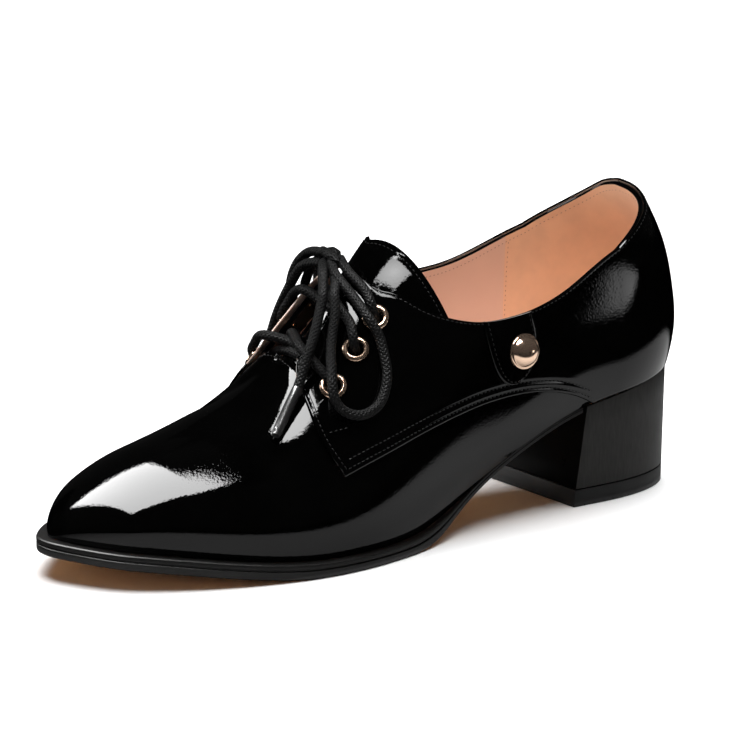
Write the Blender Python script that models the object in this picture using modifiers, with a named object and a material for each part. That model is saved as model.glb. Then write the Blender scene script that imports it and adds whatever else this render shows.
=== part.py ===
"""Left women's lace-up shoe with a pointed toe and a block heel, as separate solids.

Metres, +X to the toe, +Y to the outer side of the foot, +Z up. The shoe stands on z = 0.
A point of the upper is found by its walk, 0 at the toe's tip to 1 at the middle of the heel's back,
and by its rise, -1 at the feather line over 0 at the widest line to 1 on the ridge of the instep.
"""
import math

import bmesh
import bpy
import numpy as np
from mathutils import Matrix, Vector

# Driving sizes
LENGTH = 0.2418
BALL_WIDTH = 0.0805
INSTEP_HEIGHT = 0.0980
HEEL_HEIGHT = 0.0445
TOE_SPRING = 0.0085

# Thicknesses and clearances
GAP = 0.0003
QUARTER_GAP = 0.0004
SOLE_EDGE = 0.0050
UPPER_WALL = 0.0016
QUARTER_SKIN = 0.0011
TONGUE_WALL = 0.0018
INSOLE_THICKNESS = 0.0020
TAB_SKIN = 0.0012

# Place of the heel's back in the part's frame, with the frame's origin under the middle of the box
ORIGIN = Vector((0.1212, 0.0014, 0.0))

# The last: shares of LENGTH, of BALL_WIDTH, of INSTEP_HEIGHT above the floor, of the heel's pitch and of
# the toe spring, then the height of the widest line over the feather line and the tuck below it
LAST_COLUMNS = ["along", "outer", "inner", "ridge", "crown", "pitch", "spring", "bulge", "tuck", "full"]
LAST_ROWS = [
    (0.000, 0.338, 0.326, 0.000, 1.600, 1.000, 0.000, 0.0170, 0.0025, 0.64),
    (0.100, 0.350, 0.338, 0.000, 1.590, 0.895, 0.000, 0.0170, 0.0025, 0.64),
    (0.205, 0.356, 0.338, 0.000, 1.540, 0.785, 0.000, 0.0175, 0.0030, 0.61),
    (0.308, 0.370, 0.334, -0.020, 1.440, 0.550, 0.000, 0.0175, 0.0040, 0.58),
    (0.410, 0.402, 0.344, -0.035, 1.270, 0.275, 0.000, 0.0160, 0.0040, 0.54),
    (0.513, 0.466, 0.384, -0.040, 1.025, 0.038, 0.000, 0.0130, 0.0025, 0.50),
    (0.616, 0.521, 0.445, -0.040, 0.745, 0.000, 0.000, 0.0100, 0.0015, 0.48),
    (0.698, 0.516, 0.480, -0.035, 0.560, 0.000, 0.035, 0.0090, 0.0010, 0.48),
    (0.780, 0.461, 0.474, -0.035, 0.464, 0.000, 0.235, 0.0085, 0.0010, 0.48),
    (0.862, 0.363, 0.425, -0.050, 0.398, 0.000, 0.565, 0.0080, 0.0010, 0.50),
    (0.945, 0.209, 0.335, -0.085, 0.338, 0.000, 0.850, 0.0075, 0.0010, 0.52),
    (1.000, 0.070, 0.230, -0.098, 0.285, 0.000, 0.990, 0.0070, 0.0010, 0.55),
]
LAST = np.array(LAST_ROWS, dtype=[(name, float) for name in LAST_COLUMNS])
TIP_SIDE = -0.098 * BALL_WIDTH
TIP_PLAN_RADIUS = 0.017
TIP_PROFILE_RADIUS = 0.034

# The heel's back: height over the seat, and how far it lies in front of the rearmost point
BACK = np.array(
    [(-0.002, 0.0030), (0.008, 0.0008), (0.016, 0.0), (0.028, 0.0016), (0.045, 0.0068), (0.062, 0.0170),
     (0.110, 0.0460)],
    dtype=[("up", float), ("inset", float)])
REARMOST = -0.0015
HEEL_JOIN = 0.038
HEEL_ROUND = 2.25
WALK_JOIN = 0.8
WALK_BUNCH = 1.5
TINY = 1e-9

# The collar's height over the floor by walk, on the two sides
COLLAR = np.array(
    [(0.515, 0.1100, 0.1100), (0.528, 0.0900, 0.0905), (0.546, 0.0840, 0.0855), (0.566, 0.0800, 0.0825),
     (0.600, 0.0750, 0.0798), (0.635, 0.0725, 0.0790), (0.669, 0.0727, 0.0796), (0.702, 0.0744, 0.0806),
     (0.747, 0.0800, 0.0846), (0.780, 0.0868, 0.0885), (0.820, 0.0938, 0.0925), (0.860, 0.0990, 0.0960),
     (0.900, 0.1030, 0.0994), (0.935, 0.1055, 0.1036), (0.965, 0.1072, 0.1070), (1.000, 0.1082, 0.1082)],
    dtype=[("walk", float), ("outer", float), ("inner", float)])

# The quarter's lower seam, and its front edge from the seam up to the facing
SEAM = np.array(
    [(0.420, 0.232), (0.440, 0.224), (0.521, 0.197), (0.580, 0.144), (0.639, 0.080), (0.690, 0.015),
     (0.735, -0.280), (0.758, -0.650), (0.777, -0.985), (1.001, -0.985)],
    dtype=[("walk", float), ("rise", float)])
QUARTER_FRONT = np.array(
    [(0.0, 0.440), (0.3, 0.427), (0.75, 0.431), (0.92, 0.438), (1.0, 0.448)],
    dtype=[("share", float), ("walk", float)])
QUARTER_BACK_WALK = 0.9993
FACING_HALF_GAP = 0.0115
FACING_INSET = 0.0010
THROAT_WALKS = (0.444, 0.450)

# Eyelets: walk and rise on both sides, then the turned ring as radius and height over the quarter
EYELETS = np.array(
    [(0.461, 0.579), (0.496, 0.609), (0.525, 0.625)],
    dtype=[("walk", float), ("rise", float)])
EYELET_RING = np.array(
    [(2.6, 0.7), (3.5, 1.0), (4.5, 0.4), (4.3, 0.0), (2.95, 0.0), (2.95, -2.4), (2.6, -2.4)]) / 1000
EYELET_HOLE_RADIUS = 0.0033

# The side tab: its middle line by walk at top and bottom, half width as walk, and its lowest rise
TAB_TOP_WALK = 0.664
TAB_BOTTOM_WALK = 0.678
TAB_HALF_WALK = 0.029
TAB_BOTTOM_RISE = 0.066
STUD_WALK = 0.681
STUD_RISE = 0.126
STUD_DOME = np.array(
    [(0.0, 4.2), (2.2, 3.95), (4.0, 3.1), (5.2, 1.9), (5.6, 1.0), (6.1, 0.9), (6.1, 0.0), (0.0, 0.0)]) / 1000

# Tongue: walk where it starts under the vamp and where its top edge crosses the ridge
TONGUE_START_WALK = 0.405
TONGUE_END_WALK = 0.557
TONGUE_END_SWEEP = 0.088
TONGUE_EDGE_RISE = (0.74, 0.29)

# Sole, heel and insole
SOLE_GROW = np.array(
    [(0.00, 0.0036), (0.30, 0.0040), (0.50, 0.0032), (0.58, 0.0022), (0.62, 0.0008), (0.80, 0.0005)],
    dtype=[("walk", float), ("grow", float)])
SOLE_THICKNESS = np.array(
    [(0.00, 0.0050), (0.45, 0.0053), (0.57, 0.0053), (0.61, 0.0036), (0.68, 0.0026), (0.80, 0.0022)],
    dtype=[("walk", float), ("thickness", float)])
SOLE_EDGE_PROFILE = [(0.00, -0.0003), (0.32, 0.0), (0.40, -0.0006), (0.46, 0.0), (1.00, -0.0007)]
BREAST_X = 0.0495
BREAST_CLEARANCE = 0.0008
HEEL_GROW = 0.0012
HEEL_TAPER = 0.985
HEEL_LEAN = {1: 0.0048, -1: 0.0065}
TOP_PIECE = 0.0062
INSOLE_INSET = 0.0026
INSOLE_TIP_WALK = 0.02

# Lace: diameter, then the bow's routes as rows of walk, rise and height over the last, from the knot
LACE_DIAMETER = 0.0034
AGLET_DIAMETER = 0.0036
LACE_OVER = QUARTER_SKIN + 2 * GAP + 0.0011 + LACE_DIAMETER / 2 + 0.0002
LACE_UNDER = -(UPPER_WALL + 2 * GAP + LACE_DIAMETER / 2)
KNOT_PLACE = (0.5258, 0.985, 0.0048)
KNOT_HALF_SIZES = (0.0046, 0.0040, 0.0034)
KNOT_CLEARANCE = 0.0015
TIE_ROWS = [(0.527, 0.700, 0.0046), (0.5265, 0.760, 0.0047), (0.5255, 0.830, 0.0048)]
LOOP_OUTER = [
    (0.518, 0.890, 0.0064), (0.516, 0.823, 0.0068), (0.516, 0.745, 0.0062), (0.5165, 0.682, 0.0064),
    (0.5178, 0.620, 0.0064), (0.5195, 0.555, 0.0046), (0.518, 0.495, 0.0036), (0.515, 0.445, 0.0035),
    (0.507, 0.405, 0.0035), (0.497, 0.385, 0.0035), (0.484, 0.388, 0.0035), (0.471, 0.410, 0.0036),
    (0.459, 0.458, 0.0042), (0.454, 0.505, 0.0058), (0.4575, 0.556, 0.0082), (0.466, 0.612, 0.0084),
    (0.476, 0.675, 0.0068), (0.487, 0.720, 0.0070), (0.497, 0.755, 0.0078), (0.505, 0.800, 0.0083),
    (0.5115, 0.835, 0.0072),
]
LOOP_INNER = [
    (0.5285, 0.850, 0.0082), (0.5265, 0.760, 0.0094), (0.5225, 0.690, 0.0092), (0.5225, 0.610, 0.0080),
    (0.5273, 0.529, 0.0056), (0.5345, 0.450, 0.0041), (0.5395, 0.375, 0.0037), (0.5415, 0.307, 0.0036),
    (0.5388, 0.242, 0.0036), (0.5256, 0.218, 0.0036), (0.5173, 0.222, 0.0036), (0.5055, 0.243, 0.0036),
    (0.4954, 0.283, 0.0036), (0.4893, 0.343, 0.0036), (0.4892, 0.398, 0.0038), (0.4924, 0.453, 0.0045),
    (0.4970, 0.515, 0.0058), (0.5040, 0.585, 0.0070), (0.5105, 0.660, 0.0073), (0.5160, 0.740, 0.0074),
    (0.5190, 0.820, 0.0073),
]
END_OUTER = [
    (0.5120, 0.912, 0.0089), (0.4995, 0.846, 0.0088), (0.489, 0.812, 0.0085), (0.479, 0.782, 0.0085),
    (0.467, 0.750, 0.0084), (0.455, 0.726, 0.0078), (0.444, 0.710, 0.0058), (0.4322, 0.694, 0.0039),
]
AGLET_OUTER = [(0.4300, 0.690, 0.0036), (0.406, 0.645, 0.0027), (0.381, 0.575, 0.0021)]
END_INNER = [
    (0.538, 0.800, 0.0034), (0.542, 0.700, 0.0041), (0.545, 0.600, 0.0039), (0.550, 0.500, 0.0036),
    (0.556, 0.400, 0.0035), (0.5622, 0.296, 0.0035),
]
AGLET_INNER = [(0.5628, 0.286, 0.0035), (0.568, 0.220, 0.0035), (0.573, 0.150, 0.0035)]


def natural_curve(knots, values, at):
    """Natural cubic curve through the values at the knots, read at the given places."""
    steps = np.diff(knots)
    count = len(knots)
    matrix = np.eye(count)
    right = np.zeros(count)
    for k in range(1, count - 1):
        matrix[k, k - 1:k + 2] = steps[k - 1], 2 * (steps[k - 1] + steps[k]), steps[k]
        right[k] = 6 * ((values[k + 1] - values[k]) / steps[k] - (values[k] - values[k - 1]) / steps[k - 1])
    bend = np.linalg.solve(matrix, right)
    k = np.clip(np.searchsorted(knots, at) - 1, 0, count - 2)
    after = knots[k + 1] - at
    before = at - knots[k]
    curve = (bend[k] * after ** 3 + bend[k + 1] * before ** 3) / (6 * steps[k])
    curve += (values[k] / steps[k] - bend[k] * steps[k] / 6) * after
    return curve + (values[k + 1] / steps[k] - bend[k + 1] * steps[k] / 6) * before


def column(table, name, at):
    """One named column of a table, read at places along its first column."""
    return natural_curve(table[table.dtype.names[0]], table[name], np.asarray(at, float))


def tip_round(distance, radius):
    """0 at the tip, rounding up to 1 at the given distance from it."""
    share = np.clip(distance / radius, 0.0, 1.0)
    return np.sqrt(np.maximum(0.0, 1.0 - (1.0 - share) ** 2))


def station(walk):
    """Place along the shoe, and turn round the heel in radians, for each walk."""
    fore = np.clip(walk / WALK_JOIN, 0.0, 1.0)
    x = LENGTH - (LENGTH - HEEL_JOIN) * fore ** WALK_BUNCH
    turn = np.clip((walk - WALK_JOIN) / (1.0 - WALK_JOIN), 0.0, 1.0) * math.pi / 2
    return x, turn


def walk_at(x):
    """Walk of a place along the shoe, in front of the heel's round."""
    return WALK_JOIN * ((LENGTH - x) / (LENGTH - HEEL_JOIN)) ** (1.0 / WALK_BUNCH)


def feather_height(x):
    """Height of the feather line over the floor, where upper and sole meet."""
    along = np.clip(np.asarray(x, float) / LENGTH, 0.0, 1.0)
    pitch = column(LAST, "pitch", along) * (HEEL_HEIGHT - SOLE_EDGE)
    return SOLE_EDGE + pitch + column(LAST, "spring", along) * TOE_SPRING


def arch(share, full):
    """Section curve from the widest line to the ridge: shares of the half width and of the height."""
    left = 1.0 - share
    out = left ** 3 + 3 * left ** 2 * share + 3 * left * share ** 2 * full
    up = 3 * left ** 2 * share * full + 3 * left * share ** 2 + share ** 3
    return out, up


def section(side, walk):
    """Sizes of the section at each walk: x, turn, ridge, span, widest, height, bulge, tuck and full."""
    x, turn = station(walk)
    along = x / LENGTH
    plan = tip_round(LENGTH - x, TIP_PLAN_RADIUS)
    profile = tip_round(LENGTH - x, TIP_PROFILE_RADIUS)
    ridge = TIP_SIDE + (column(LAST, "ridge", along) * BALL_WIDTH - TIP_SIDE) * plan
    half = column(LAST, "outer" if side > 0 else "inner", along) * BALL_WIDTH
    edge = side * TIP_SIDE + (half - side * TIP_SIDE) * plan
    bulge = column(LAST, "bulge", along) * profile
    feather = feather_height(x - np.sin(turn) * HEEL_JOIN)
    crown = column(LAST, "crown", along) * INSTEP_HEIGHT
    return {
        "x": x, "turn": turn, "ridge": ridge, "span": edge - side * ridge, "bulge": bulge,
        "feather": feather, "height": (crown - feather_height(x)) * profile - bulge,
        "tuck": column(LAST, "tuck", along) * plan, "full": column(LAST, "full", along)}


def bare_last(side, walk, rise):
    """Points of the last's surface; walk and rise are arrays of one shape."""
    size = section(side, walk)
    low = np.minimum(rise, 0.0)
    out, up = arch(np.clip(rise, 0.0, 1.0), size["full"])
    y = side * size["ridge"] + size["span"] * out - size["tuck"] * low ** 2
    z = size["feather"] + size["bulge"] * (1.0 + low) + size["height"] * up
    limits = BACK["up"][0], BACK["up"][-1]
    inset = column(BACK, "inset", np.clip(z - size["feather"], *limits))
    turned = np.sin(size["turn"])
    x = size["x"] - turned * (HEEL_JOIN - REARMOST - inset)
    y = y * np.maximum(0.0, 1.0 - turned ** HEEL_ROUND) ** (1.0 / HEEL_ROUND)
    return np.stack([x, side * y, z], axis=-1)


def last_normals(side, walk, rise):
    """Outward directions of the last's surface."""
    step = 1e-3
    walk = np.clip(walk, 8 * step, 1.0)
    walk_a, walk_b = np.clip(walk - step, 0.0, 1.0), np.clip(walk + step, 0.0, 1.0)
    rise_a, rise_b = np.clip(rise - step, -1.0, 1.0), np.clip(rise + step, -1.0, 1.0)
    along = bare_last(side, walk_b, rise) - bare_last(side, walk_a, rise)
    up = bare_last(side, walk, rise_b) - bare_last(side, walk, rise_a)
    normal = side * np.cross(along, up)
    return normal / np.maximum(np.linalg.norm(normal, axis=-1, keepdims=True), 1e-12)


def last_points(side, walk, rise, lift=0.0):
    """Points at a height over the last's surface, in the part's frame."""
    walk, rise = np.broadcast_arrays(np.asarray(walk, float), np.asarray(rise, float))
    points = bare_last(side, walk, rise)
    lift = np.asarray(lift, float)
    if np.any(lift):
        points = points + last_normals(side, walk, rise) * np.broadcast_to(lift, walk.shape)[..., None]
    return points - np.array(ORIGIN)


def rise_at_height(side, walk, height):
    """Rise at which the surface reaches a height over the floor, above the widest line."""
    size = section(side, walk)
    shares = np.linspace(0.0, 1.0, 201)
    wanted = (height - size["feather"] - size["bulge"]) / np.maximum(size["height"], TINY)
    rows = [np.interp(want, arch(shares, full)[1], shares) for want, full in zip(wanted, size["full"])]
    return np.array(rows)


def rise_at_side(side, walk, distance):
    """Rise at which the surface lies at a distance to the side of the ridge."""
    size = section(side, walk)
    shares = np.linspace(0.0, 1.0, 201)
    wanted = distance / np.maximum(size["span"], TINY)
    rows = [np.interp(-want, -arch(shares, full)[0], shares) for want, full in zip(wanted, size["full"])]
    return np.array(rows)


def top_edge(side, walk, inset=0.0):
    """Rise of the quarter's top edge: the facing beside the throat, then the collar."""
    walk = np.asarray(walk, float)
    name = "outer" if side > 0 else "inner"
    collar = column(COLLAR, name, np.clip(walk, COLLAR["walk"][0], 1.0)) - inset
    facing = rise_at_side(side, walk, np.full(walk.shape, FACING_HALF_GAP + inset))
    return np.minimum(facing, rise_at_height(side, walk, collar))


def seam_edge(walk):
    """Rise of the quarter's lower seam."""
    return np.interp(walk, SEAM["walk"], SEAM["rise"])


# Objects and materials
def material(name, colour, roughness, metallic=0.0):
    """A named Principled material."""
    made = bpy.data.materials.new(name)
    made.use_nodes = True
    shader = made.node_tree.nodes["Principled BSDF"]
    shader.inputs["Base Color"].default_value = (*colour, 1.0)
    shader.inputs["Roughness"].default_value = roughness
    shader.inputs["Metallic"].default_value = metallic
    return made


def keep_object(name, data, finish, group):
    """A named object with its material, in its collection."""
    item = bpy.data.objects.new(name, data)
    group.objects.link(item)
    data.materials.append(finish)
    if isinstance(data, bpy.types.Mesh):
        data.shade_smooth()
        data.set_sharp_from_angle(angle=math.radians(40))
    return item


def sheet(u_count, v_count, places):
    """A sheet of quads at places(u, v), with u and v from 0 to 1; each point remembers its u and v."""
    built = bmesh.new()
    bmesh.ops.create_grid(built, x_segments=u_count, y_segments=v_count, size=0.5)
    u_layer = built.verts.layers.float.new("u")
    v_layer = built.verts.layers.float.new("v")
    for vertex in built.verts:
        vertex[u_layer] = vertex.co.x + 0.5
        vertex[v_layer] = vertex.co.y + 0.5
    move_to(built, list(built.verts), places)
    return built


def move_to(built, points, places):
    """Move points to places(u, v) by the u and v that they remember."""
    u_layer = built.verts.layers.float["u"]
    v_layer = built.verts.layers.float["v"]
    u = np.array([point[u_layer] for point in points])
    v = np.array([point[v_layer] for point in points])
    for point, place in zip(points, places(u, v)):
        point.co = place


def raise_layer(built, faces, places):
    """Extrude the faces to new places(u, v) and return the faces that moved."""
    open_sheet = any(edge.is_boundary for edge in built.edges)
    made = bmesh.ops.extrude_face_region(built, geom=faces)
    if not open_sheet:
        bmesh.ops.delete(built, geom=faces, context="FACES")
    points = [item for item in made["geom"] if isinstance(item, bmesh.types.BMVert)]
    move_to(built, points, places)
    return [item for item in made["geom"] if isinstance(item, bmesh.types.BMFace)]


def closed_mesh(built, name):
    """Merge what meets, turn all faces outwards and hand the solid over as a mesh."""
    bmesh.ops.remove_doubles(built, verts=built.verts, dist=WELD)
    bmesh.ops.recalc_face_normals(built, faces=built.faces)
    mesh = bpy.data.meshes.new(name)
    built.to_mesh(mesh)
    built.free()
    return mesh


def skin_mesh(halves, name):
    """Join sheets that share edges into one open skin, facing away from the foot."""
    mesh = bpy.data.meshes.new(name)
    built = bmesh.new()
    for half in halves:
        half.to_mesh(mesh)
        half.free()
        built.from_mesh(mesh)
    bmesh.ops.remove_doubles(built, verts=built.verts, dist=WELD)
    bmesh.ops.recalc_face_normals(built, faces=built.faces)
    foot = Vector((0.0, 0.0, 0.02))
    leaning = [face.normal.dot(face.calc_center_median() - foot) * face.calc_area() for face in built.faces]
    if sum(leaning) < 0:
        bmesh.ops.reverse_faces(built, faces=built.faces)
    built.to_mesh(mesh)
    built.free()
    return mesh


def add_wall(item, thickness, offset):
    """Give a skin its wall: offset -1 grows inwards, +1 outwards."""
    wall = item.modifiers.new("Wall", "SOLIDIFY")
    wall.thickness = thickness
    wall.offset = offset
    wall.use_quality_normals = True


def stand_on(item, side, walk, rise, lift):
    """Place an object at a height over the last, with its Z along the last's normal."""
    place = Vector(last_points(side, walk, rise, lift))
    normal = Vector(last_normals(side, np.array(walk), np.array(rise)))
    item.matrix_world = Matrix.Translation(place) @ normal.to_track_quat("Z", "Y").to_matrix().to_4x4()


def turned(name, profile, closed, segments, finish, group):
    """A turned solid from a profile of radius and height."""
    mesh = bpy.data.meshes.new(name)
    built = bmesh.new()
    points = [built.verts.new((radius, 0.0, height)) for radius, height in profile]
    for first, second in zip(points, points[1:]):
        built.edges.new((first, second))
    if closed:
        built.edges.new((points[-1], points[0]))
    built.to_mesh(mesh)
    built.free()
    item = keep_object(name, mesh, finish, group)
    screw = item.modifiers.new("Turn", "SCREW")
    screw.steps = segments
    screw.render_steps = segments
    screw.use_merge_vertices = True
    screw.merge_threshold = 1e-6
    return item


# Upper, quarters, tongue and tab
WELD = 2e-5
UPPER_COUNTS = (36, 10)
THROAT_STATION = 16
QUARTER_COUNTS = (28, 8)
TONGUE_COUNTS = (11, 10)
TAB_COUNTS = (6, 6)
SOLE_COUNTS = (26, 4)
INSOLE_COUNTS = (20, 3)
LOW_SHARE = 0.25


def rise_between(low, top, v):
    """Rise for a share of the way up, with a set share of the rows below the widest line."""
    share = np.maximum(LOW_SHARE * np.clip(-low, 0.0, 1.0), TINY)
    below = low * (1.0 - v / share)
    start = np.maximum(low, 0.0)
    above = start + (top - start) * (v - share) / (1.0 - share)
    return np.where(v < share, below, above)


def upper_place(side, u, v):
    """Points of the upper's outer face: u from the toe to the heel's back, v from the feather line up."""
    stations = np.array([0, THROAT_STATION, THROAT_STATION + 1, UPPER_COUNTS[0]]) / UPPER_COUNTS[0]
    walk = np.interp(u, stations, [0.0, *THROAT_WALKS, 1.0])
    edge = top_edge(side, walk, FACING_INSET)
    top = np.where(walk < sum(THROAT_WALKS) / 2, 1.0, edge)
    return last_points(side, walk, rise_between(np.full(walk.shape, -1.0), top, v))


def add_upper(finish, group):
    """The hollow upper: vamp and quarter walls, open at collar, throat and underneath."""
    halves = [sheet(*UPPER_COUNTS, lambda u, v, side=side: upper_place(side, u, v)) for side in (1, -1)]
    item = keep_object("upper", skin_mesh(halves, "upper"), finish, group)
    add_wall(item, UPPER_WALL, -1.0)
    return item


def quarter_place(side, u, v):
    """Points of the quarter's inner face, from its front edge to the heel's back."""
    front = np.interp(v, QUARTER_FRONT["share"], QUARTER_FRONT["walk"])
    walk = front + (QUARTER_BACK_WALK - front) * u
    rise = rise_between(seam_edge(walk), top_edge(side, walk), v)
    return last_points(side, walk, rise, QUARTER_GAP)


def add_quarter(name, side, finish, group):
    """A lapped quarter skin with its lace facing, over the upper."""
    skin = skin_mesh([sheet(*QUARTER_COUNTS, lambda u, v: quarter_place(side, u, v))], name)
    item = keep_object(name, skin, finish, group)
    add_wall(item, QUARTER_SKIN, 1.0)
    return item


def tongue_place(u, v):
    """Points of the tongue's outer face: u from under the vamp to the top edge, v across."""
    across = 2.0 * v - 1.0
    edge = TONGUE_EDGE_RISE[0] + (TONGUE_EDGE_RISE[1] - TONGUE_EDGE_RISE[0]) * u
    rise = 1.0 - np.abs(across) * (1.0 - edge)
    end = TONGUE_END_WALK + TONGUE_END_SWEEP * (1.0 - rise) ** 1.3
    walk = TONGUE_START_WALK + (end - TONGUE_START_WALK) * u
    room = LACE_DIAMETER + 3 * GAP
    settle = np.clip((u - 0.08) / 0.28, 0.0, 1.0)
    lift = -(UPPER_WALL + GAP) - room * settle ** 2 * (3.0 - 2.0 * settle)
    outer = last_points(1, walk, rise, lift)
    inner = last_points(-1, walk, rise, lift)
    return np.where((across >= 0.0)[:, None], outer, inner)


def add_tongue(finish, group):
    """The tongue, from under the vamp's edge to its free top."""
    item = keep_object("tongue", skin_mesh([sheet(*TONGUE_COUNTS, tongue_place)], "tongue"), finish, group)
    add_wall(item, TONGUE_WALL, -1.0)
    return item


def tab_place(u, v):
    """Points of the tab's inner face: u across, v from its top at the collar down to its round end."""
    half = TAB_HALF_WALK * np.sqrt(np.maximum(0.0, 1.0 - v ** 3.2))
    walk = TAB_TOP_WALK + (TAB_BOTTOM_WALK - TAB_TOP_WALK) * v + (2.0 * u - 1.0) * half
    top = top_edge(1, walk)
    rise = top + (TAB_BOTTOM_RISE - top) * v
    return last_points(1, walk, rise, QUARTER_SKIN + 2 * GAP)


def add_side_tab(finish, group):
    """The U-shaped tab on the outer side, below the collar."""
    item = keep_object("side_tab", skin_mesh([sheet(*TAB_COUNTS, tab_place)], "side_tab"), finish, group)
    add_wall(item, TAB_SKIN, 1.0)
    return item


# Sole, heel and insole
def feather_outline(side, walk, grow):
    """The feather line in plan, moved outwards by grow."""
    step = 1e-3
    walk = np.asarray(walk, float)
    place = last_points(side, walk, -1.0)
    before = last_points(side, np.clip(walk - step, 0.0, 1.0), -1.0)
    after = last_points(side, np.clip(walk + step, 0.0, 1.0), -1.0)
    along = (after - before)[..., :2]
    along = along / np.maximum(np.linalg.norm(along, axis=-1, keepdims=True), 1e-12)
    outward = side * np.stack([along[..., 1], -along[..., 0]], axis=-1)
    return place[..., :2] + outward * np.asarray(grow)[..., None]


def across_last(walk, v, grow, height):
    """Points of a flat row across the last between its grown outlines."""
    outer = feather_outline(1, walk, grow)
    inner = feather_outline(-1, walk, grow)
    plan = outer + (inner - outer) * v[:, None]
    return np.column_stack([plan, height])


def sole_heights(walk):
    """Top and bottom of the outsole over the floor."""
    x, _ = station(walk)
    top = feather_height(x) - GAP
    thickness = np.interp(walk, SOLE_THICKNESS["walk"], SOLE_THICKNESS["thickness"])
    return top, np.maximum(0.0, top - thickness)


def sole_place(u, v, share, extra):
    """Points of one level of the outsole, a share of the way down its edge."""
    walk = u * walk_at(BREAST_X + BREAST_CLEARANCE)
    top, bottom = sole_heights(walk)
    grow = np.interp(walk, SOLE_GROW["walk"], SOLE_GROW["grow"]) + extra
    return across_last(walk, v, grow, top + (bottom - top) * share)


def add_outsole(finish, group):
    """The outsole, with a fine step round its edge and a flat spot under the ball."""
    levels = [lambda u, v, share=share, extra=extra: sole_place(u, v, share, extra)
              for share, extra in SOLE_EDGE_PROFILE]
    built = sheet(*SOLE_COUNTS, levels[0])
    faces = list(built.faces)
    for level in levels[1:]:
        faces = raise_layer(built, faces, level)
    return keep_object("outsole", closed_mesh(built, "outsole"), finish, group)


def add_insole(finish, group):
    """The sock, on the sole and the heel seat inside the upper."""
    def level(u, v, lift):
        walk = INSOLE_TIP_WALK + (1.0 - INSOLE_TIP_WALK) * u
        plan = across_last(walk, v, np.full(u.shape, -INSOLE_INSET), np.zeros(u.shape))
        plan[:, 2] = feather_height(plan[:, 0] + ORIGIN.x) + lift
        return plan
    built = sheet(*INSOLE_COUNTS, lambda u, v: level(u, v, INSOLE_THICKNESS + GAP / 2))
    raise_layer(built, list(built.faces), lambda u, v: level(u, v, GAP / 2))
    return keep_object("insole", closed_mesh(built, "insole"), finish, group)


def heel_ring(count, level):
    """Plan of the heel from breast to back and round to breast: level 0 at the seat, 1 at the floor."""
    start = walk_at(BREAST_X)
    shares = np.linspace(0.0, 1.0, count // 2 + 1)
    walk = start + (1.0 - start) * shares ** 0.8
    rows = []
    for side, order in ((1, slice(None)), (-1, slice(-2, None, -1))):
        plan = feather_outline(side, walk, np.full(walk.shape, HEEL_GROW))[order]
        x = plan[:, 0] + ORIGIN.x
        forward = (x - REARMOST) / (BREAST_X - REARMOST) * HEEL_LEAN[side] * level
        side_scale = 1.0 - (1.0 - HEEL_TAPER) * level
        rows.append(np.column_stack([plan[:, 0] + forward, (plan[:, 1] + ORIGIN.y) * side_scale - ORIGIN.y]))
    return np.vstack(rows)


def add_heel_layer(name, top, bottom, finish, group):
    """A closed layer of the heel; top and bottom each give a height for x, and a level for the plan."""
    count = 36
    built = bmesh.new()
    bmesh.ops.create_circle(built, cap_ends=True, segments=count + 1, radius=BREAST_X)
    points = list(built.verts)
    faces = list(built.faces)
    for height, level in (top, bottom):
        for point, (x, y) in zip(points, heel_ring(count, level)):
            point.co = x, y, height(x + ORIGIN.x)
        if height is top[0]:
            made = bmesh.ops.extrude_face_region(built, geom=faces)
            moved = [item for item in made["geom"] if isinstance(item, bmesh.types.BMVert)]
            points = [min(moved, key=lambda other: (other.co - point.co).length) for point in points]
    return keep_object(name, closed_mesh(built, name), finish, group)


def seat_height(x):
    """The heel seat as a plane under the feather line."""
    back, breast = feather_height(0.0), feather_height(BREAST_X)
    return float(back + (breast - back) * x / BREAST_X - GAP)


def add_heel(finish, rubber, group):
    """The block heel, its breast leaning forward, and the top piece under it."""
    split = TOP_PIECE / HEEL_HEIGHT
    add_heel_layer("heel_block", (seat_height, 0.0), (lambda x: TOP_PIECE + GAP, 1.0 - split), finish, group)
    add_heel_layer("heel_top_piece", (lambda x: TOP_PIECE, 1.0 - split), (lambda x: 0.0, 1.0), rubber, group)


# Eyelets, stud and lace
def add_eyelets(quarters, upper, finish, group, cutters):
    """The eyelets on both facings, each with its hole through quarter and upper."""
    for side, label in ((1, "outer"), (-1, "inner")):
        for number, row in enumerate(EYELETS, start=1):
            ring = turned(f"eyelet_{label}_{number}", EYELET_RING, True, 12, finish, group)
            stand_on(ring, side, row["walk"], row["rise"], QUARTER_SKIN + 2 * GAP)
            built = bmesh.new()
            bmesh.ops.create_cone(built, cap_ends=True, segments=12, radius1=EYELET_HOLE_RADIUS,
                                  radius2=EYELET_HOLE_RADIUS, depth=0.012)
            cutter = keep_object(f"hole_{label}_{number}", closed_mesh(built, "hole"), finish, cutters)
            cutter.hide_render = True
            cutter.display_type = "WIRE"
            stand_on(cutter, side, row["walk"], row["rise"], 0.0)
            for item in (quarters[side], upper):
                cut = item.modifiers.new(cutter.name, "BOOLEAN")
                cut.object = cutter


def add_tab_stud(finish, group):
    """The dome stud on the side tab."""
    item = turned("tab_stud", STUD_DOME, False, 16, finish, group)
    stand_on(item, 1, STUD_WALK, STUD_RISE, QUARTER_SKIN + TAB_SKIN + 3 * GAP)


def smooth_path(points, spacing):
    """Points at about the spacing along a smooth curve through the given points."""
    points = np.array(points, float)
    knots = np.concatenate([[0.0], np.cumsum(np.linalg.norm(np.diff(points, axis=0), axis=1))])
    places = np.linspace(0.0, knots[-1], max(4, int(round(knots[-1] / spacing)) + 1))
    return np.column_stack([natural_curve(knots, points[:, axis], places) for axis in range(3)])


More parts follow.
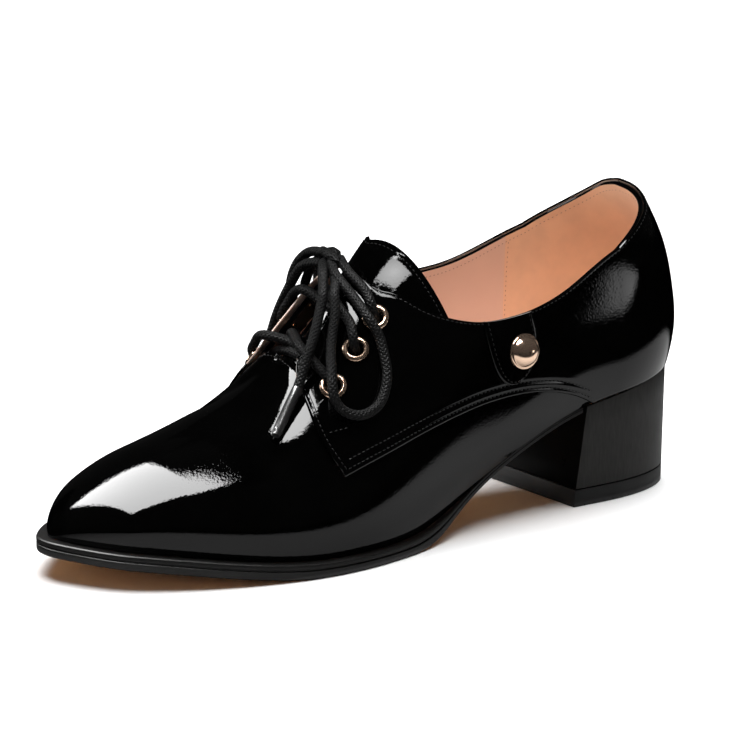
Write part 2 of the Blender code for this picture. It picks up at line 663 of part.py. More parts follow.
def add_cord(name, points, diameter, finish, group, spacing=0.0060):
    """A round cord along a smooth curve through the points."""
    curve = bpy.data.curves.new(name, "CURVE")
    curve.dimensions = "3D"
    curve.bevel_depth = diameter / 2
    curve.bevel_resolution = 2
    curve.use_fill_caps = True
    path = smooth_path(points, spacing)
    spline = curve.splines.new("POLY")
    spline.points.add(len(path) - 1)
    for point, place in zip(spline.points, path):
        point.co = (*place, 1.0)
    return keep_object(name, curve, finish, group)


def route(side, rows):
    """Points of a route given by walk, rise and lift."""
    return [last_points(side, *row) for row in rows]


def crossing(side, low, high):
    """One strand: up out of a low eyelet, over its facing, across and under the other facing."""
    start, end = EYELETS[low], EYELETS[high]
    walks = start["walk"] + (end["walk"] - start["walk"]) * np.array([0.0, 0.18, 0.34, 0.5, 0.66, 0.82, 1.0])
    facing = [float(top_edge(way, walks[k:k + 1])[0]) for way, k in ((side, 2), (-side, 4))]
    rows = [
        (side, walks[0], start["rise"], LACE_OVER),
        (side, walks[1], (start["rise"] + facing[0]) / 2, LACE_OVER - 0.0001),
        (side, walks[2], facing[0] + 0.02, LACE_OVER - 0.0006),
        (side, walks[3], 1.0, 0.0006),
        (-side, walks[4], facing[1] + 0.06, LACE_UNDER),
        (-side, walks[5], (end["rise"] + facing[1]) / 2, LACE_UNDER),
        (-side, walks[6], end["rise"], LACE_UNDER),
    ]
    return [last_points(way, walk, rise, lift) for way, walk, rise, lift in rows]


def mesh_copy(item, group):
    """The object as a plain mesh object with its caps welded; the curve is removed."""
    graph = bpy.context.evaluated_depsgraph_get()
    mesh = bpy.data.meshes.new_from_object(item.evaluated_get(graph))
    built = bmesh.new()
    built.from_mesh(mesh)
    bmesh.ops.remove_doubles(built, verts=built.verts, dist=WELD)
    built.to_mesh(mesh)
    built.free()
    name, place = item.name, item.matrix_world.copy()
    bpy.data.objects.remove(item, do_unlink=True)
    made = bpy.data.objects.new(name, mesh)
    made.matrix_world = place
    group.objects.link(made)
    return made


def add_lacing(finish, group, cutters):
    """The lace between the facings: a bar under the lowest eyelets and two joined crossings."""
    low = EYELETS[0]
    rises = np.linspace(low["rise"], 1.0, 5)
    halves = [last_points(side, np.full(5, low["walk"]), rises, LACE_UNDER) for side in (1, -1)]
    add_cord("lace_bar", np.vstack([halves[0], halves[1][-2::-1]]), LACE_DIAMETER, finish, group)
    for number in (1, 2):
        strands = []
        for side, label in ((1, "outer"), (-1, "inner")):
            strand = add_cord(f"strand_{number}_{label}", crossing(side, number - 1, number), LACE_DIAMETER,
                              finish, group, 0.0052)
            strands.append(mesh_copy(strand, group))
        strands[0].name = f"lace_cross_{number}"
        group.objects.unlink(strands[1])
        cutters.objects.link(strands[1])
        strands[1].hide_render = True
        strands[1].display_type = "WIRE"
        join = strands[0].modifiers.new("Join", "BOOLEAN")
        join.operation = "UNION"
        join.object = strands[1]


def knot_frame():
    """Middle of the knot, and the directions to the outer side, to the toe and away from the foot."""
    middle = Vector(last_points(1, *KNOT_PLACE))
    up = Vector(last_normals(1, np.array(KNOT_PLACE[0]), np.array(1.0)))
    outer = Vector((0.0, 1.0, 0.0))
    toe = outer.cross(up).normalized()
    return middle, outer, toe, up


def knot_exit(shares):
    """Point on the knot's skin where a strand leaves, in the direction given by the shares."""
    middle, *axes = knot_frame()
    direction = Vector(shares).normalized()
    reach = 1.0 / math.sqrt(sum((part / half) ** 2 for part, half in zip(direction, KNOT_HALF_SIZES)))
    turned_way = sum((axis * part for axis, part in zip(axes, direction)), Vector())
    return middle + turned_way * (reach + KNOT_CLEARANCE)


def add_knot(finish, group):
    """The knot as a rounded lump."""
    middle, outer, toe, up = knot_frame()
    built = bmesh.new()
    bmesh.ops.create_uvsphere(built, u_segments=10, v_segments=6, radius=1.0)
    item = keep_object("lace_knot", closed_mesh(built, "lace_knot"), finish, group)
    turn = Matrix((outer, toe, up)).transposed().to_4x4()
    item.matrix_world = Matrix.Translation(middle) @ turn @ Matrix.Diagonal((*KNOT_HALF_SIZES, 1.0))


def add_bow(finish, aglet, group):
    """The tied bow: strands from the top eyelets, knot, two loops and two ends with their aglets."""
    add_knot(finish, group)
    top = EYELETS[2]
    for side, label, shares in ((1, "outer", (0.93, -0.30, -0.22)), (-1, "inner", (-0.97, -0.10, -0.22))):
        start = last_points(side, top["walk"], top["rise"] + 0.02, LACE_OVER - 0.0002)
        tie = [start] + route(side, TIE_ROWS) + [knot_exit(shares)]
        add_cord(f"lace_tie_{label}", tie, LACE_DIAMETER, finish, group)
    loops = (
        ("outer", 1, LOOP_OUTER, (0.88, 0.40, 0.26), (0.60, 0.78, -0.12)),
        ("inner", -1, LOOP_INNER, (-0.72, -0.10, 0.62), (-0.72, 0.69, 0.05)))
    for label, side, rows, leave, arrive in loops:
        path = [knot_exit(leave)] + route(side, rows) + [knot_exit(arrive)]
        add_cord(f"lace_loop_{label}", path, LACE_DIAMETER, finish, group)
    ends = (
        ("outer", 1, END_OUTER, AGLET_OUTER, (0.10, 0.88, 0.46)),
        ("inner", -1, END_INNER, AGLET_INNER, (-0.55, -0.82, -0.16)))
    for label, side, rows, tip, leave in ends:
        add_cord(f"lace_end_{label}", [knot_exit(leave)] + route(side, rows), LACE_DIAMETER, finish, group)
        add_cord(f"aglet_{label}", route(side, tip), AGLET_DIAMETER, aglet, group)


def main():
    """Build the whole shoe."""
    for item in list(bpy.data.objects):
        bpy.data.objects.remove(item, do_unlink=True)
    group = bpy.data.collections.new("Lace-up shoe")
    cutters = bpy.data.collections.new("Cutters")
    for collection in (group, cutters):
        bpy.context.scene.collection.children.link(collection)
    patent = material("Black patent leather", (0.012, 0.012, 0.013), 0.08)
    satin = material("Heel cover", (0.022, 0.022, 0.022), 0.35)
    rubber = material("Heel rubber", (0.030, 0.030, 0.030), 0.60)
    sole = material("Sole edge", (0.025, 0.024, 0.024), 0.40)
    sock = material("Sock leather", (0.780, 0.560, 0.500), 0.55)
    gold = material("Pale gold", (0.830, 0.620, 0.430), 0.18, 1.0)
    cord = material("Waxed cord", (0.020, 0.020, 0.020), 0.50)
    clear = material("Aglet film", (0.060, 0.060, 0.062), 0.15)
    upper = add_upper(patent, group)
    quarters = {
        1: add_quarter("quarter_outer", 1, patent, group),
        -1: add_quarter("quarter_inner", -1, patent, group)}
    add_tongue(patent, group)
    add_side_tab(patent, group)
    add_outsole(sole, group)
    add_heel(satin, rubber, group)
    add_insole(sock, group)
    add_eyelets(quarters, upper, gold, group, cutters)
    add_tab_stud(gold, group)
    add_lacing(cord, group, cutters)
    add_bow(cord, clear, group)


main()
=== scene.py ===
"""Looks of a left block heel lace-up shoe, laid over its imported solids.

Metres, +X to the toe, +Y to the outer side of the foot, +Z up. The shoe stands on z = 0.
A point of the upper is found by its walk, 0 at the toe's tip to 1 at the middle of the heel's back,
and by its rise, -1 at the feather line over 0 at the widest line to 1 on the ridge of the instep.
"""

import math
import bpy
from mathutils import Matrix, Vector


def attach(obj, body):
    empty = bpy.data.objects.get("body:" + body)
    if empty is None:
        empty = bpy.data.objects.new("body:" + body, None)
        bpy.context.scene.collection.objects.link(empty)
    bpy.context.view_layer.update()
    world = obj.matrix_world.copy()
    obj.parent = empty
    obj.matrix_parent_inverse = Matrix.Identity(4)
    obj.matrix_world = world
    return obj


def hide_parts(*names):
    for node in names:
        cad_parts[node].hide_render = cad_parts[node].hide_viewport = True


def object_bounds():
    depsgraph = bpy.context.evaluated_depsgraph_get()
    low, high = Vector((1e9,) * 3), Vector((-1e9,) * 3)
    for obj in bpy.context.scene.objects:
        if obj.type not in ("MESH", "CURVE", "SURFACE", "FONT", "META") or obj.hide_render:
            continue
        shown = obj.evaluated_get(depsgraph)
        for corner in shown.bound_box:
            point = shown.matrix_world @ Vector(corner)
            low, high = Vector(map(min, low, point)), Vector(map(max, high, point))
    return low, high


bl_info = {
    "name": "Block Heel Lace-up Shoe",
    "version": (1, 0, 0),
    "blender": (4, 5, 0),
    "location": "View3D > Sidebar > Shoe",
    "description": "Builds the finished skins, lining, stitching, lace and studio of a patent lace-up shoe",
    "category": "Add Mesh",
}

import bpy
import numpy as np
from bpy.props import FloatProperty, FloatVectorProperty, PointerProperty
from bpy.types import Operator, Panel, PropertyGroup
from mathutils import Matrix, Vector

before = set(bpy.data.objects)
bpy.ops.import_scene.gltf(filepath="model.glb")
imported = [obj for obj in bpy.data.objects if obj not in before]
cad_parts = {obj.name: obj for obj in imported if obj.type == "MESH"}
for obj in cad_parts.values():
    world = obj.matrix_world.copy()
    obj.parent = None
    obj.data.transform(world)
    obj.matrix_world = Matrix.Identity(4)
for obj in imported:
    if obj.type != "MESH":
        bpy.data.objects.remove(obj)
CAD_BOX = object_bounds()

# Least numbers to divide by, distance at which corners merge, and thin gaps between layers
TINY = 1e-9
LEAST_LENGTH = 1e-12
WELD = 2e-5
SLIVER = 0.0001
LAYER_GAP = 0.0002
SIDES = {"outer": 1, "inner": -1}

# Place of the heel's back in the part's frame
ORIGIN = np.array([0.1212, 0.0014, 0.0])

# The last by shares of its length: shares of the ball width, the instep height, the heel's pitch and the
# toe spring, then the widest line's height over the feather line, the tuck below it and the curve's fullness
LAST_COLUMNS = ["along", "outer", "inner", "ridge", "crown", "pitch", "spring", "bulge", "tuck", "full"]
LAST_ROWS = [
    (0.000, 0.338, 0.326, 0.000, 1.600, 1.000, 0.000, 0.0170, 0.0025, 0.64),
    (0.100, 0.350, 0.338, 0.000, 1.590, 0.895, 0.000, 0.0170, 0.0025, 0.64),
    (0.205, 0.356, 0.338, 0.000, 1.540, 0.785, 0.000, 0.0175, 0.0030, 0.61),
    (0.308, 0.370, 0.334, -0.020, 1.440, 0.550, 0.000, 0.0175, 0.0040, 0.58),
    (0.410, 0.402, 0.344, -0.035, 1.270, 0.275, 0.000, 0.0160, 0.0040, 0.54),
    (0.513, 0.466, 0.384, -0.040, 1.025, 0.038, 0.000, 0.0130, 0.0025, 0.50),
    (0.616, 0.521, 0.445, -0.040, 0.745, 0.000, 0.000, 0.0100, 0.0015, 0.48),
    (0.698, 0.516, 0.480, -0.035, 0.560, 0.000, 0.035, 0.0090, 0.0010, 0.48),
    (0.780, 0.461, 0.474, -0.035, 0.464, 0.000, 0.235, 0.0085, 0.0010, 0.48),
    (0.862, 0.363, 0.425, -0.050, 0.398, 0.000, 0.565, 0.0080, 0.0010, 0.50),
    (0.945, 0.209, 0.335, -0.085, 0.338, 0.000, 0.850, 0.0075, 0.0010, 0.52),
    (1.000, 0.070, 0.230, -0.098, 0.285, 0.000, 0.990, 0.0070, 0.0010, 0.55),
]
LAST = np.array(LAST_ROWS, dtype=[(name, float) for name in LAST_COLUMNS])
TIP_SIDE_SHARE = -0.098
TIP_PLAN_RADIUS = 0.017
TIP_PROFILE_RADIUS = 0.034

# The heel's back: height over the seat, and how far it lies in front of the rearmost point
BACK = np.array(
    [(-0.002, 0.0030), (0.008, 0.0008), (0.016, 0.0), (0.028, 0.0016), (0.045, 0.0068), (0.062, 0.0170),
     (0.110, 0.0460)],
    dtype=[("up", float), ("inset", float)])
REARMOST = -0.0015
HEEL_JOIN = 0.038
HEEL_ROUND = 2.25
WALK_JOIN = 0.8
WALK_BUNCH = 1.5

# The collar's height over the floor by walk, on the two sides
COLLAR = np.array(
    [(0.515, 0.1100, 0.1100), (0.528, 0.0900, 0.0905), (0.546, 0.0840, 0.0855), (0.566, 0.0800, 0.0825),
     (0.600, 0.0750, 0.0798), (0.635, 0.0725, 0.0790), (0.669, 0.0727, 0.0796), (0.702, 0.0744, 0.0806),
     (0.747, 0.0800, 0.0846), (0.780, 0.0868, 0.0885), (0.820, 0.0938, 0.0925), (0.860, 0.0990, 0.0961),
     (0.900, 0.1030, 0.1000), (0.935, 0.1055, 0.1036), (0.965, 0.1072, 0.1065), (1.000, 0.1082, 0.1082)],
    dtype=[("walk", float), ("outer", float), ("inner", float)])

# The quarter's lower seam by its height over the feather line, and its front edge from seam to facing
SEAM = np.array(
    [(0.420, 0.0238), (0.440, 0.0258), (0.500, 0.0312), (0.555, 0.0340), (0.600, 0.0320), (0.654, 0.0261),
     (0.700, 0.0189), (0.737, 0.0109), (0.761, 0.0046), (0.776, 0.0002)],
    dtype=[("walk", float), ("height", float)])
SEAM_LEAST = 0.0003
SEAM_END_WALK = 0.772
SEAM_FADE_WALK = 0.01
QUARTER_FRONT = np.array(
    [(0.0, 0.440), (0.3, 0.427), (0.75, 0.431), (0.92, 0.438), (1.0, 0.448)],
    dtype=[("share", float), ("walk", float)])
QUARTER_BACK_WALK = 0.9993

# The collar's and the facings' edges, the throat between the facings, and the heel grip's seam inside
FACING_HALF_GAP = 0.0115
COLLAR_INSET = 0.0008
THROAT_WALKS = (0.444, 0.447)
THROAT_END_WALK = 0.530
FACING_END_WALK = 0.535
FACING_GAPE_REACH = 0.009
FACING_FADE_WALK = 0.02
FACING_EDGE_RISE = 0.7
CUT_EDGE_TURN = -0.35
CUT_EDGE_TILT = -0.5
HEEL_GRIP_WALKS = (0.772, 0.784)
HEEL_GRIP_RISES = (-0.6, 0.55)
# Rise above which the lining inside the facings is painted black: painted shade where the throat lies in
# shadow
PAINTED_SHADE_RISE = 0.50
LOW_SHARE = 0.25

# The upper's finishes by material slot, the last a black painted shade inside the facings, and how fine the
# grids of the upper and the quarters are
UPPER_FINISHES = ("patent", "lining", "heel_grip", "painted_throat_shade")
UPPER_COLUMNS = 170
UPPER_ROWS = 60
QUARTER_COLUMNS = 190
QUARTER_ROWS = 30

# Distances from an edge at which a skin has its rows, with the numbers of the stitch rows among them
EDGE_STEPS = np.array([0.0, 0.3, 0.7, 1.2, 1.7, 2.2, 2.8, 3.3, 3.8, 4.3, 4.8, 5.4]) / 1000
COLLAR_ROW = 3
FIRST_ROW = 4
SECOND_ROW = 9

# Rolled edges as reach and drop, stitch grooves as depth and width, and how much thinner than its solid
# a skin is, so that its rolled edge stays clear of what lies below
QUARTER_ROLL = (0.0008, 0.0005)
TONGUE_ROLL = (0.0010, 0.0006)
TAB_ROLL = (0.0009, 0.0006)
SEAM_GROOVE = (0.00022, 0.0006)
COLLAR_GROOVE = (0.00018, 0.0005)
TONGUE_GROOVE = (0.00020, 0.0006)
TONGUE_ROW_INSET = 0.0018
QUARTER_RELIEF = 0.0004
TONGUE_RELIEF = 0.0005
TAB_RELIEF = 0.0003

# Other stitch rows: a bar tack behind a facing's corner, the vamp's edge, the tongue, the tab, the lining
BAR_TACK_WALKS = (0.436, 0.459)
BAR_TACK_RISES = (0.441, 0.401)
VAMP_ROW_WALK = 0.4385
VAMP_ROW_RISE = 0.82
TONGUE_ROW_ALONG = (0.55, 0.972)
TONGUE_ROW_ACROSS = (0.035, 0.965)
TAB_ROW_INSET = 0.0045
LINING_ROW_INSET = 0.0030
LINING_ROW_WALKS = (0.54, 0.999)

# Shares of the thread: how far a stitch's ends bend down and how high a quarter's stitches lie
STITCH_BEND = 0.9
STITCH_LIFT = 0.2

# Eyelets: walk and rise on both sides, and the profile as radius and height
EYELETS = np.array(
    [(0.461, 0.579), (0.496, 0.609), (0.525, 0.625)],
    dtype=[("walk", float), ("rise", float)])
EYELET_HOLE_RADIUS = 0.0031
HOLE_CUT_DEPTH = 0.014
EYELET_CORNERS = 48
EYELET_PROFILE = np.array(
    [(2.60, -2.4), (2.60, 0.35), (2.75, 0.75), (3.10, 0.98), (3.55, 1.00), (4.05, 0.82), (4.40, 0.48),
     (4.50, 0.15), (4.40, 0.0), (2.95, 0.0), (2.95, -2.4)]) / 1000

# The side tab, and its stud with the profile as radius and height
TAB_TOP_WALK = 0.664
TAB_BOTTOM_WALK = 0.678
TAB_HALF_WALK = 0.029
TAB_BOTTOM_RISE = 0.066
TAB_ROUND = 3.2
STUD_WALK = 0.681
STUD_RISE = 0.126
STUD_CORNERS = 72
STUD_PROFILE = np.array(
    [(0.0, 4.2), (0.9, 4.15), (1.9, 3.95), (3.0, 3.5), (4.0, 2.8), (4.8, 1.9), (5.2, 1.2), (5.35, 0.95),
     (5.6, 0.95), (5.95, 0.85), (6.1, 0.55), (6.1, 0.0)]) / 1000

# Tongue: walks where it starts under the vamp and where its top edge crosses the ridge, the sweep of that
# edge, the rise of its sides at both ends, its flare, and how it settles down to leave room for the lace
TONGUE_START_WALK = 0.405
TONGUE_END_WALK = 0.557
TONGUE_END_SWEEP = 0.088
TONGUE_END_CURVE = 1.3
TONGUE_EDGE_RISE = (0.56, 0.29)
TONGUE_FLARE = 0.0020
TONGUE_SPREAD = 0.0018
TONGUE_FLARE_START = 0.5
TONGUE_GAP = 0.0003
TONGUE_LACE_ROOM = 0.0009
TONGUE_SETTLE = (0.08, 0.28)

# Sole, heel and sock
SOLE_EDGE = 0.0050
SOLE_TIP_BUNCH = 1.15
SOLE_GROW = np.array(
    [(0.00, 0.0036), (0.30, 0.0040), (0.50, 0.0032), (0.58, 0.0022), (0.62, 0.0008), (0.80, 0.0005)],
    dtype=[("walk", float), ("grow", float)])
SOLE_THICKNESS = np.array(
    [(0.00, 0.0050), (0.45, 0.0053), (0.57, 0.0053), (0.61, 0.0036), (0.68, 0.0026), (0.80, 0.0022)],
    dtype=[("walk", float), ("thickness", float)])
SOLE_PROFILE = np.array(
    [(0.00, -0.6), (0.05, -0.15), (0.12, 0.0), (0.29, 0.0), (0.33, -0.2), (0.36, -0.6), (0.40, -0.6),
     (0.43, -0.2), (0.47, 0.0), (0.84, 0.0), (0.93, -0.2), (0.98, -0.5), (1.00, -0.9)],
    dtype=[("share", float), ("out_mm", float)])
BREAST_X = 0.0495
BREAST_CLEARANCE = 0.0008
BREAST_TURN = 0.7
HEEL_GROW = 0.0012
HEEL_TAPER = 0.985
HEEL_LEAN = {1: 0.0048, -1: 0.0065}
HEEL_CORNERS = 120
HEEL_BUNCH = 0.8
HEEL_BEVEL = 0.00035
TOP_PIECE = 0.0062
TOP_PIECE_GAP = 0.0003
SOCK_INSET = 0.0022
SOCK_TIP_WALK = 0.02
SOCK_WALL = 0.0012
SOCK_RIM_DROP = 0.35
SOCK_RIM_POWER = 6

# Soft troughs and ridges of the vamp: two ends by side, walk and rise, then width and height
CREASE_COLUMNS = ["side", "walk_a", "rise_a", "walk_b", "rise_b", "width", "height"]
CREASE_ROWS = [
    (1, 0.398, 0.850, 0.430, 0.865, 0.0012, 0.00035),
    (1, 0.395, 0.800, 0.432, 0.800, 0.0030, -0.00040),
    (1, 0.330, 0.560, 0.415, 0.360, 0.0060, -0.00035),
    (1, 0.350, 0.700, 0.400, 0.500, 0.0050, 0.00030),
    (-1, 0.335, 0.620, 0.410, 0.350, 0.0060, -0.00035),
    (-1, 0.400, 0.860, 0.432, 0.820, 0.0025, -0.00035),
]
CREASES = np.array(CREASE_ROWS, dtype=[(name, float) for name in CREASE_COLUMNS])
CREASE_ENDS = (0.05, 0.95)

# How the vamp sinks to the tongue between the facings
THROAT_DIP = 0.0022
THROAT_DIP_WALKS = (0.335, 0.446)
THROAT_DIP_RISE = 0.46
THROAT_DIP_SLANT = 3.6
THROAT_DIP_SOFTNESS = 0.16

# The knot: its place by walk, rise and height, the half sizes of its lump, then its band and its core
KNOT_PLACE = (0.5258, 0.985, 0.0048)
KNOT_HALF_SIZES = (0.0046, 0.0040, 0.0034)
KNOT_BAND_WIDE = 0.0048
KNOT_BAND_HIGH = 0.0027
KNOT_BAND_SKEW = 0.0008
KNOT_BAND_ANGLES = (-35.0, 215.0)
KNOT_CORE_HALF = 0.0038
KNOT_CORE_RADIUS = 0.0028
KNOT_CORE_TAPER = 0.75
KNOT_SETBACK = 0.0004
KNOT_REACH = 0.8
TIE_REACH = 0.9

# Tubes: sides, distances from ring to ring, and the aglets' ends as share of the length and of the radius
TUBE_SIDES = 14
LACE_SPACING = 0.0010
BOW_SPACING = 0.0012
AGLET_SPACING = 0.0008
AGLET_ROOT = (0.04, 0.96)
AGLET_TIP = (0.93, 0.82)

# The bow's routes as rows of walk, rise and height over the last, from the knot
TIE_ROWS = [(0.527, 0.700, 0.0046), (0.5265, 0.760, 0.0047), (0.5255, 0.830, 0.0048)]
LOOP_OUTER = [
    (0.518, 0.890, 0.0064), (0.516, 0.823, 0.0068), (0.516, 0.745, 0.0062), (0.5165, 0.682, 0.0064),
    (0.5178, 0.620, 0.0064), (0.5195, 0.555, 0.0046), (0.518, 0.495, 0.0036), (0.515, 0.445, 0.0035),
    (0.507, 0.405, 0.0035), (0.497, 0.385, 0.0035), (0.484, 0.388, 0.0035), (0.471, 0.410, 0.0036),
    (0.459, 0.458, 0.0042), (0.454, 0.505, 0.0058), (0.4575, 0.556, 0.0082), (0.466, 0.612, 0.0084),
    (0.476, 0.675, 0.0068), (0.487, 0.720, 0.0070), (0.497, 0.755, 0.0078), (0.505, 0.800, 0.0083),
    (0.5115, 0.835, 0.0072),
]
LOOP_INNER = [
    (0.5285, 0.850, 0.0082), (0.5265, 0.760, 0.0094), (0.5225, 0.690, 0.0092), (0.5225, 0.610, 0.0080),
    (0.5273, 0.529, 0.0056), (0.5345, 0.450, 0.0041), (0.5395, 0.375, 0.0037), (0.5415, 0.307, 0.0036),
    (0.5388, 0.242, 0.0036), (0.5256, 0.218, 0.0036), (0.5173, 0.222, 0.0036), (0.5055, 0.243, 0.0036),
    (0.4954, 0.283, 0.0036), (0.4893, 0.343, 0.0036), (0.4892, 0.398, 0.0038), (0.4924, 0.453, 0.0045),
    (0.4970, 0.515, 0.0058), (0.5040, 0.585, 0.0070), (0.5105, 0.660, 0.0073), (0.5160, 0.740, 0.0074),
    (0.5190, 0.820, 0.0073),
]
END_OUTER = [
    (0.5120, 0.912, 0.0089), (0.4995, 0.846, 0.0088), (0.489, 0.812, 0.0085), (0.479, 0.782, 0.0085),
    (0.467, 0.750, 0.0084), (0.455, 0.726, 0.0078), (0.444, 0.710, 0.0058), (0.4322, 0.694, 0.0039),
]
AGLET_OUTER = [(0.4300, 0.690, 0.0036), (0.406, 0.645, 0.0027), (0.381, 0.575, 0.0021)]
END_INNER = [
    (0.538, 0.800, 0.0034), (0.542, 0.700, 0.0041), (0.545, 0.600, 0.0039), (0.550, 0.500, 0.0036),
    (0.556, 0.400, 0.0035), (0.5622, 0.296, 0.0035),
]
AGLET_INNER = [(0.5628, 0.286, 0.0035), (0.568, 0.220, 0.0035), (0.573, 0.150, 0.0035)]

# The lacing of the two halves from the middle of the lowest bar to the top eyelet: side, walk, rise, height
LACING_OUTER = [
    (1, 0.4525, 1.000, -0.0045), (1, 0.4535, 0.900, -0.0042), (1, 0.4560, 0.800, -0.0039),
    (1, 0.4595, 0.700, -0.0039), (1, 0.4610, 0.594, -0.0037), (1, 0.4610, 0.579, -0.0005),
    (1, 0.4605, 0.605, 0.0036), (1, 0.4580, 0.665, 0.0040), (1, 0.4565, 0.735, 0.0041),
    (1, 0.4565, 0.820, 0.0040), (1, 0.4610, 0.950, -0.0006), (-1, 0.4700, 0.860, -0.0030),
    (-1, 0.4780, 0.740, -0.0038), (-1, 0.4880, 0.660, -0.0039), (-1, 0.4950, 0.624, -0.0037),
    (-1, 0.4960, 0.609, -0.0005), (-1, 0.4970, 0.635, 0.0036), (-1, 0.5010, 0.680, 0.0041),
    (-1, 0.5060, 0.735, 0.0042), (-1, 0.5060, 0.800, 0.0030), (1, 0.4985, 1.000, -0.0043),
    (1, 0.5030, 0.860, -0.0042), (1, 0.5110, 0.780, -0.0039), (1, 0.5190, 0.700, -0.0039),
    (1, 0.5240, 0.640, -0.0037), (1, 0.5250, 0.625, -0.0005), (1, 0.5255, 0.655, 0.0038),
]
LACING_INNER = [
    (-1, 0.4525, 1.000, -0.0045), (-1, 0.4535, 0.900, -0.0042), (-1, 0.4560, 0.800, -0.0039),
    (-1, 0.4595, 0.700, -0.0039), (-1, 0.4610, 0.594, -0.0037), (-1, 0.4610, 0.579, -0.0005),
    (-1, 0.4610, 0.605, 0.0036), (-1, 0.4610, 0.660, 0.0041), (-1, 0.4605, 0.740, 0.0042),
    (-1, 0.4590, 0.800, 0.0030), (1, 0.4585, 1.000, -0.0035), (1, 0.4600, 0.860, -0.0042),
    (1, 0.4680, 0.770, -0.0039), (1, 0.4840, 0.690, -0.0039), (1, 0.4950, 0.624, -0.0037),
    (1, 0.4960, 0.609, -0.0005), (1, 0.4975, 0.635, 0.0036), (1, 0.5020, 0.690, 0.0040),
    (1, 0.5020, 0.750, 0.0041), (1, 0.5030, 0.820, 0.0040), (1, 0.5060, 0.950, -0.0006),
    (-1, 0.5110, 0.860, -0.0030), (-1, 0.5160, 0.740, -0.0038), (-1, 0.5210, 0.680, -0.0039),
    (-1, 0.5240, 0.640, -0.0037), (-1, 0.5250, 0.625, -0.0005), (-1, 0.5255, 0.655, 0.0038),
]

# Softboxes that the gloss mirrors: share of the brightness, share left at the rim, and corners
SOFTBOXES = {
    "softbox_main": (1.0, 0.95, [
        (0.060, -0.656, 0.95), (0.660, -1.310, 0.95), (0.048, 0.307, 0.95), (0.690, 0.190, 0.95)]),
    "softbox_side": (0.14, 0.6, [
        (-0.2150, 0.1951, 0.028), (-0.2411, 0.1722, 0.039), (-0.2120, 0.1979, 0.062),
        (-0.2636, 0.1524, 0.055)]),
    "softbox_inner": (0.25, 0.5, [
        (0.38, -0.95, 0.14), (0.76, -0.68, 0.14), (0.38, -0.95, 0.46), (0.76, -0.68, 0.46)]),
    "softbox_tongue": (0.9, 0.6, [
        (0.0337, 0.0051, 0.12), (0.0246, 0.0355, 0.12), (0.0146, 0.0114, 0.12), (0.0043, 0.0401, 0.12)]),
}

# Black cards that keep the softboxes out of parts of the gloss, by their corners
FLAGS = {
    "vamp_flag": [
        (0.0556, 0.048, 0.075), (0.0556, 0.012, 0.075), (0.0535, 0.004, 0.075), (0.0440, -0.012, 0.075),
        (0.0400, -0.050, 0.075), (0.0680, -0.050, 0.075), (0.0690, 0.048, 0.075)],
    "facing_flag": [
        (0.024, 0.004, 0.085), (0.0505, 0.004, 0.085), (0.0505, 0.031, 0.085), (0.024, 0.031, 0.085)],
    "toe_flag": [
        (0.111, -0.069, 0.002), (0.172, -0.035, 0.002), (0.172, -0.035, 0.050), (0.111, -0.069, 0.050)],
    "tongue_flag": [
        (-0.030, -0.060, 0.12), (0.070, -0.060, 0.12), (0.0528, -0.0012, 0.12), (-0.0045, 0.0177, 0.12)],
}

# The floor, the dark card on it with its clear oval round the shoe, the room, the lamp, how far a softbox
# fades on its own face, and the camera's aim
FLOOR_SIZE = 14.0
CARD_SIZE = 11.0
CARD_HEIGHT = 0.0015
CARD_OVAL_MIDDLE = (-0.085, 0.03, 0.0)
CARD_OVAL_HALVES = (0.255, 0.100)
CARD_OVAL_RIM = (0.85, 1.12)
CARD_LEAST_COVER = 0.5
ROOM_RADIUS = 6.0
LAMP_PLACE = (-0.3, -0.45, 2.2)
LAMP_SIZE = 2.3
GLOW_REACH = 0.7
AIM_HEIGHT = 0.052


# Settings
def length_setting(name, description, default):
    """A length in metres that a user would change."""
    return FloatProperty(name=name, description=description, default=default, unit="LENGTH", precision=4)


def colour_setting(name, description, default):
    """A colour that a user would change."""
    return FloatVectorProperty(
        name=name, description=description, default=default, subtype="COLOR", min=0.0, max=1.0)


class ShoeSizes(PropertyGroup):
    """Driving sizes of the last and of what is laid over it"""
    length: length_setting("Last length", "Length of the last from heel to toe", 0.2418)
    ball_width: length_setting("Ball width", "Width of the last at the ball", 0.0805)
    instep_height: length_setting("Instep height", "Height that the ridge line is measured in", 0.0980)
    heel_height: length_setting("Heel height", "Height of the feather line at the heel", 0.0445)
    toe_spring: length_setting("Toe spring", "Height of the toe's tip over the ball", 0.0085)
    upper_wall: length_setting("Upper wall", "Thickness of the lined upper", 0.0016)
    quarter_skin: length_setting("Quarter skin", "Thickness of the lapped quarters", 0.0011)
    quarter_gap: length_setting("Quarter gap", "Gap between the quarters and the upper", 0.0004)
    facing_gape: length_setting("Facing gape", "How far the free edge of a facing stands off", 0.0008)
    tongue_wall: length_setting("Tongue wall", "Thickness of the tongue", 0.0018)
    tab_skin: length_setting("Tab skin", "Thickness of the side tab", 0.0012)
    sock_thickness: length_setting("Sock thickness", "Thickness of the sock", 0.0020)
    lace_diameter: length_setting("Lace diameter", "Diameter of the round lace", 0.0034)
    aglet_diameter: length_setting("Aglet diameter", "Diameter of the lace's tips", 0.0036)
    stitch_pitch: length_setting("Stitch pitch", "Distance from stitch to stitch", 0.00175)
    stitch_length: length_setting("Stitch length", "Length of one stitch", 0.00130)
    thread: length_setting("Thread", "Thickness of the thread", 0.00042)


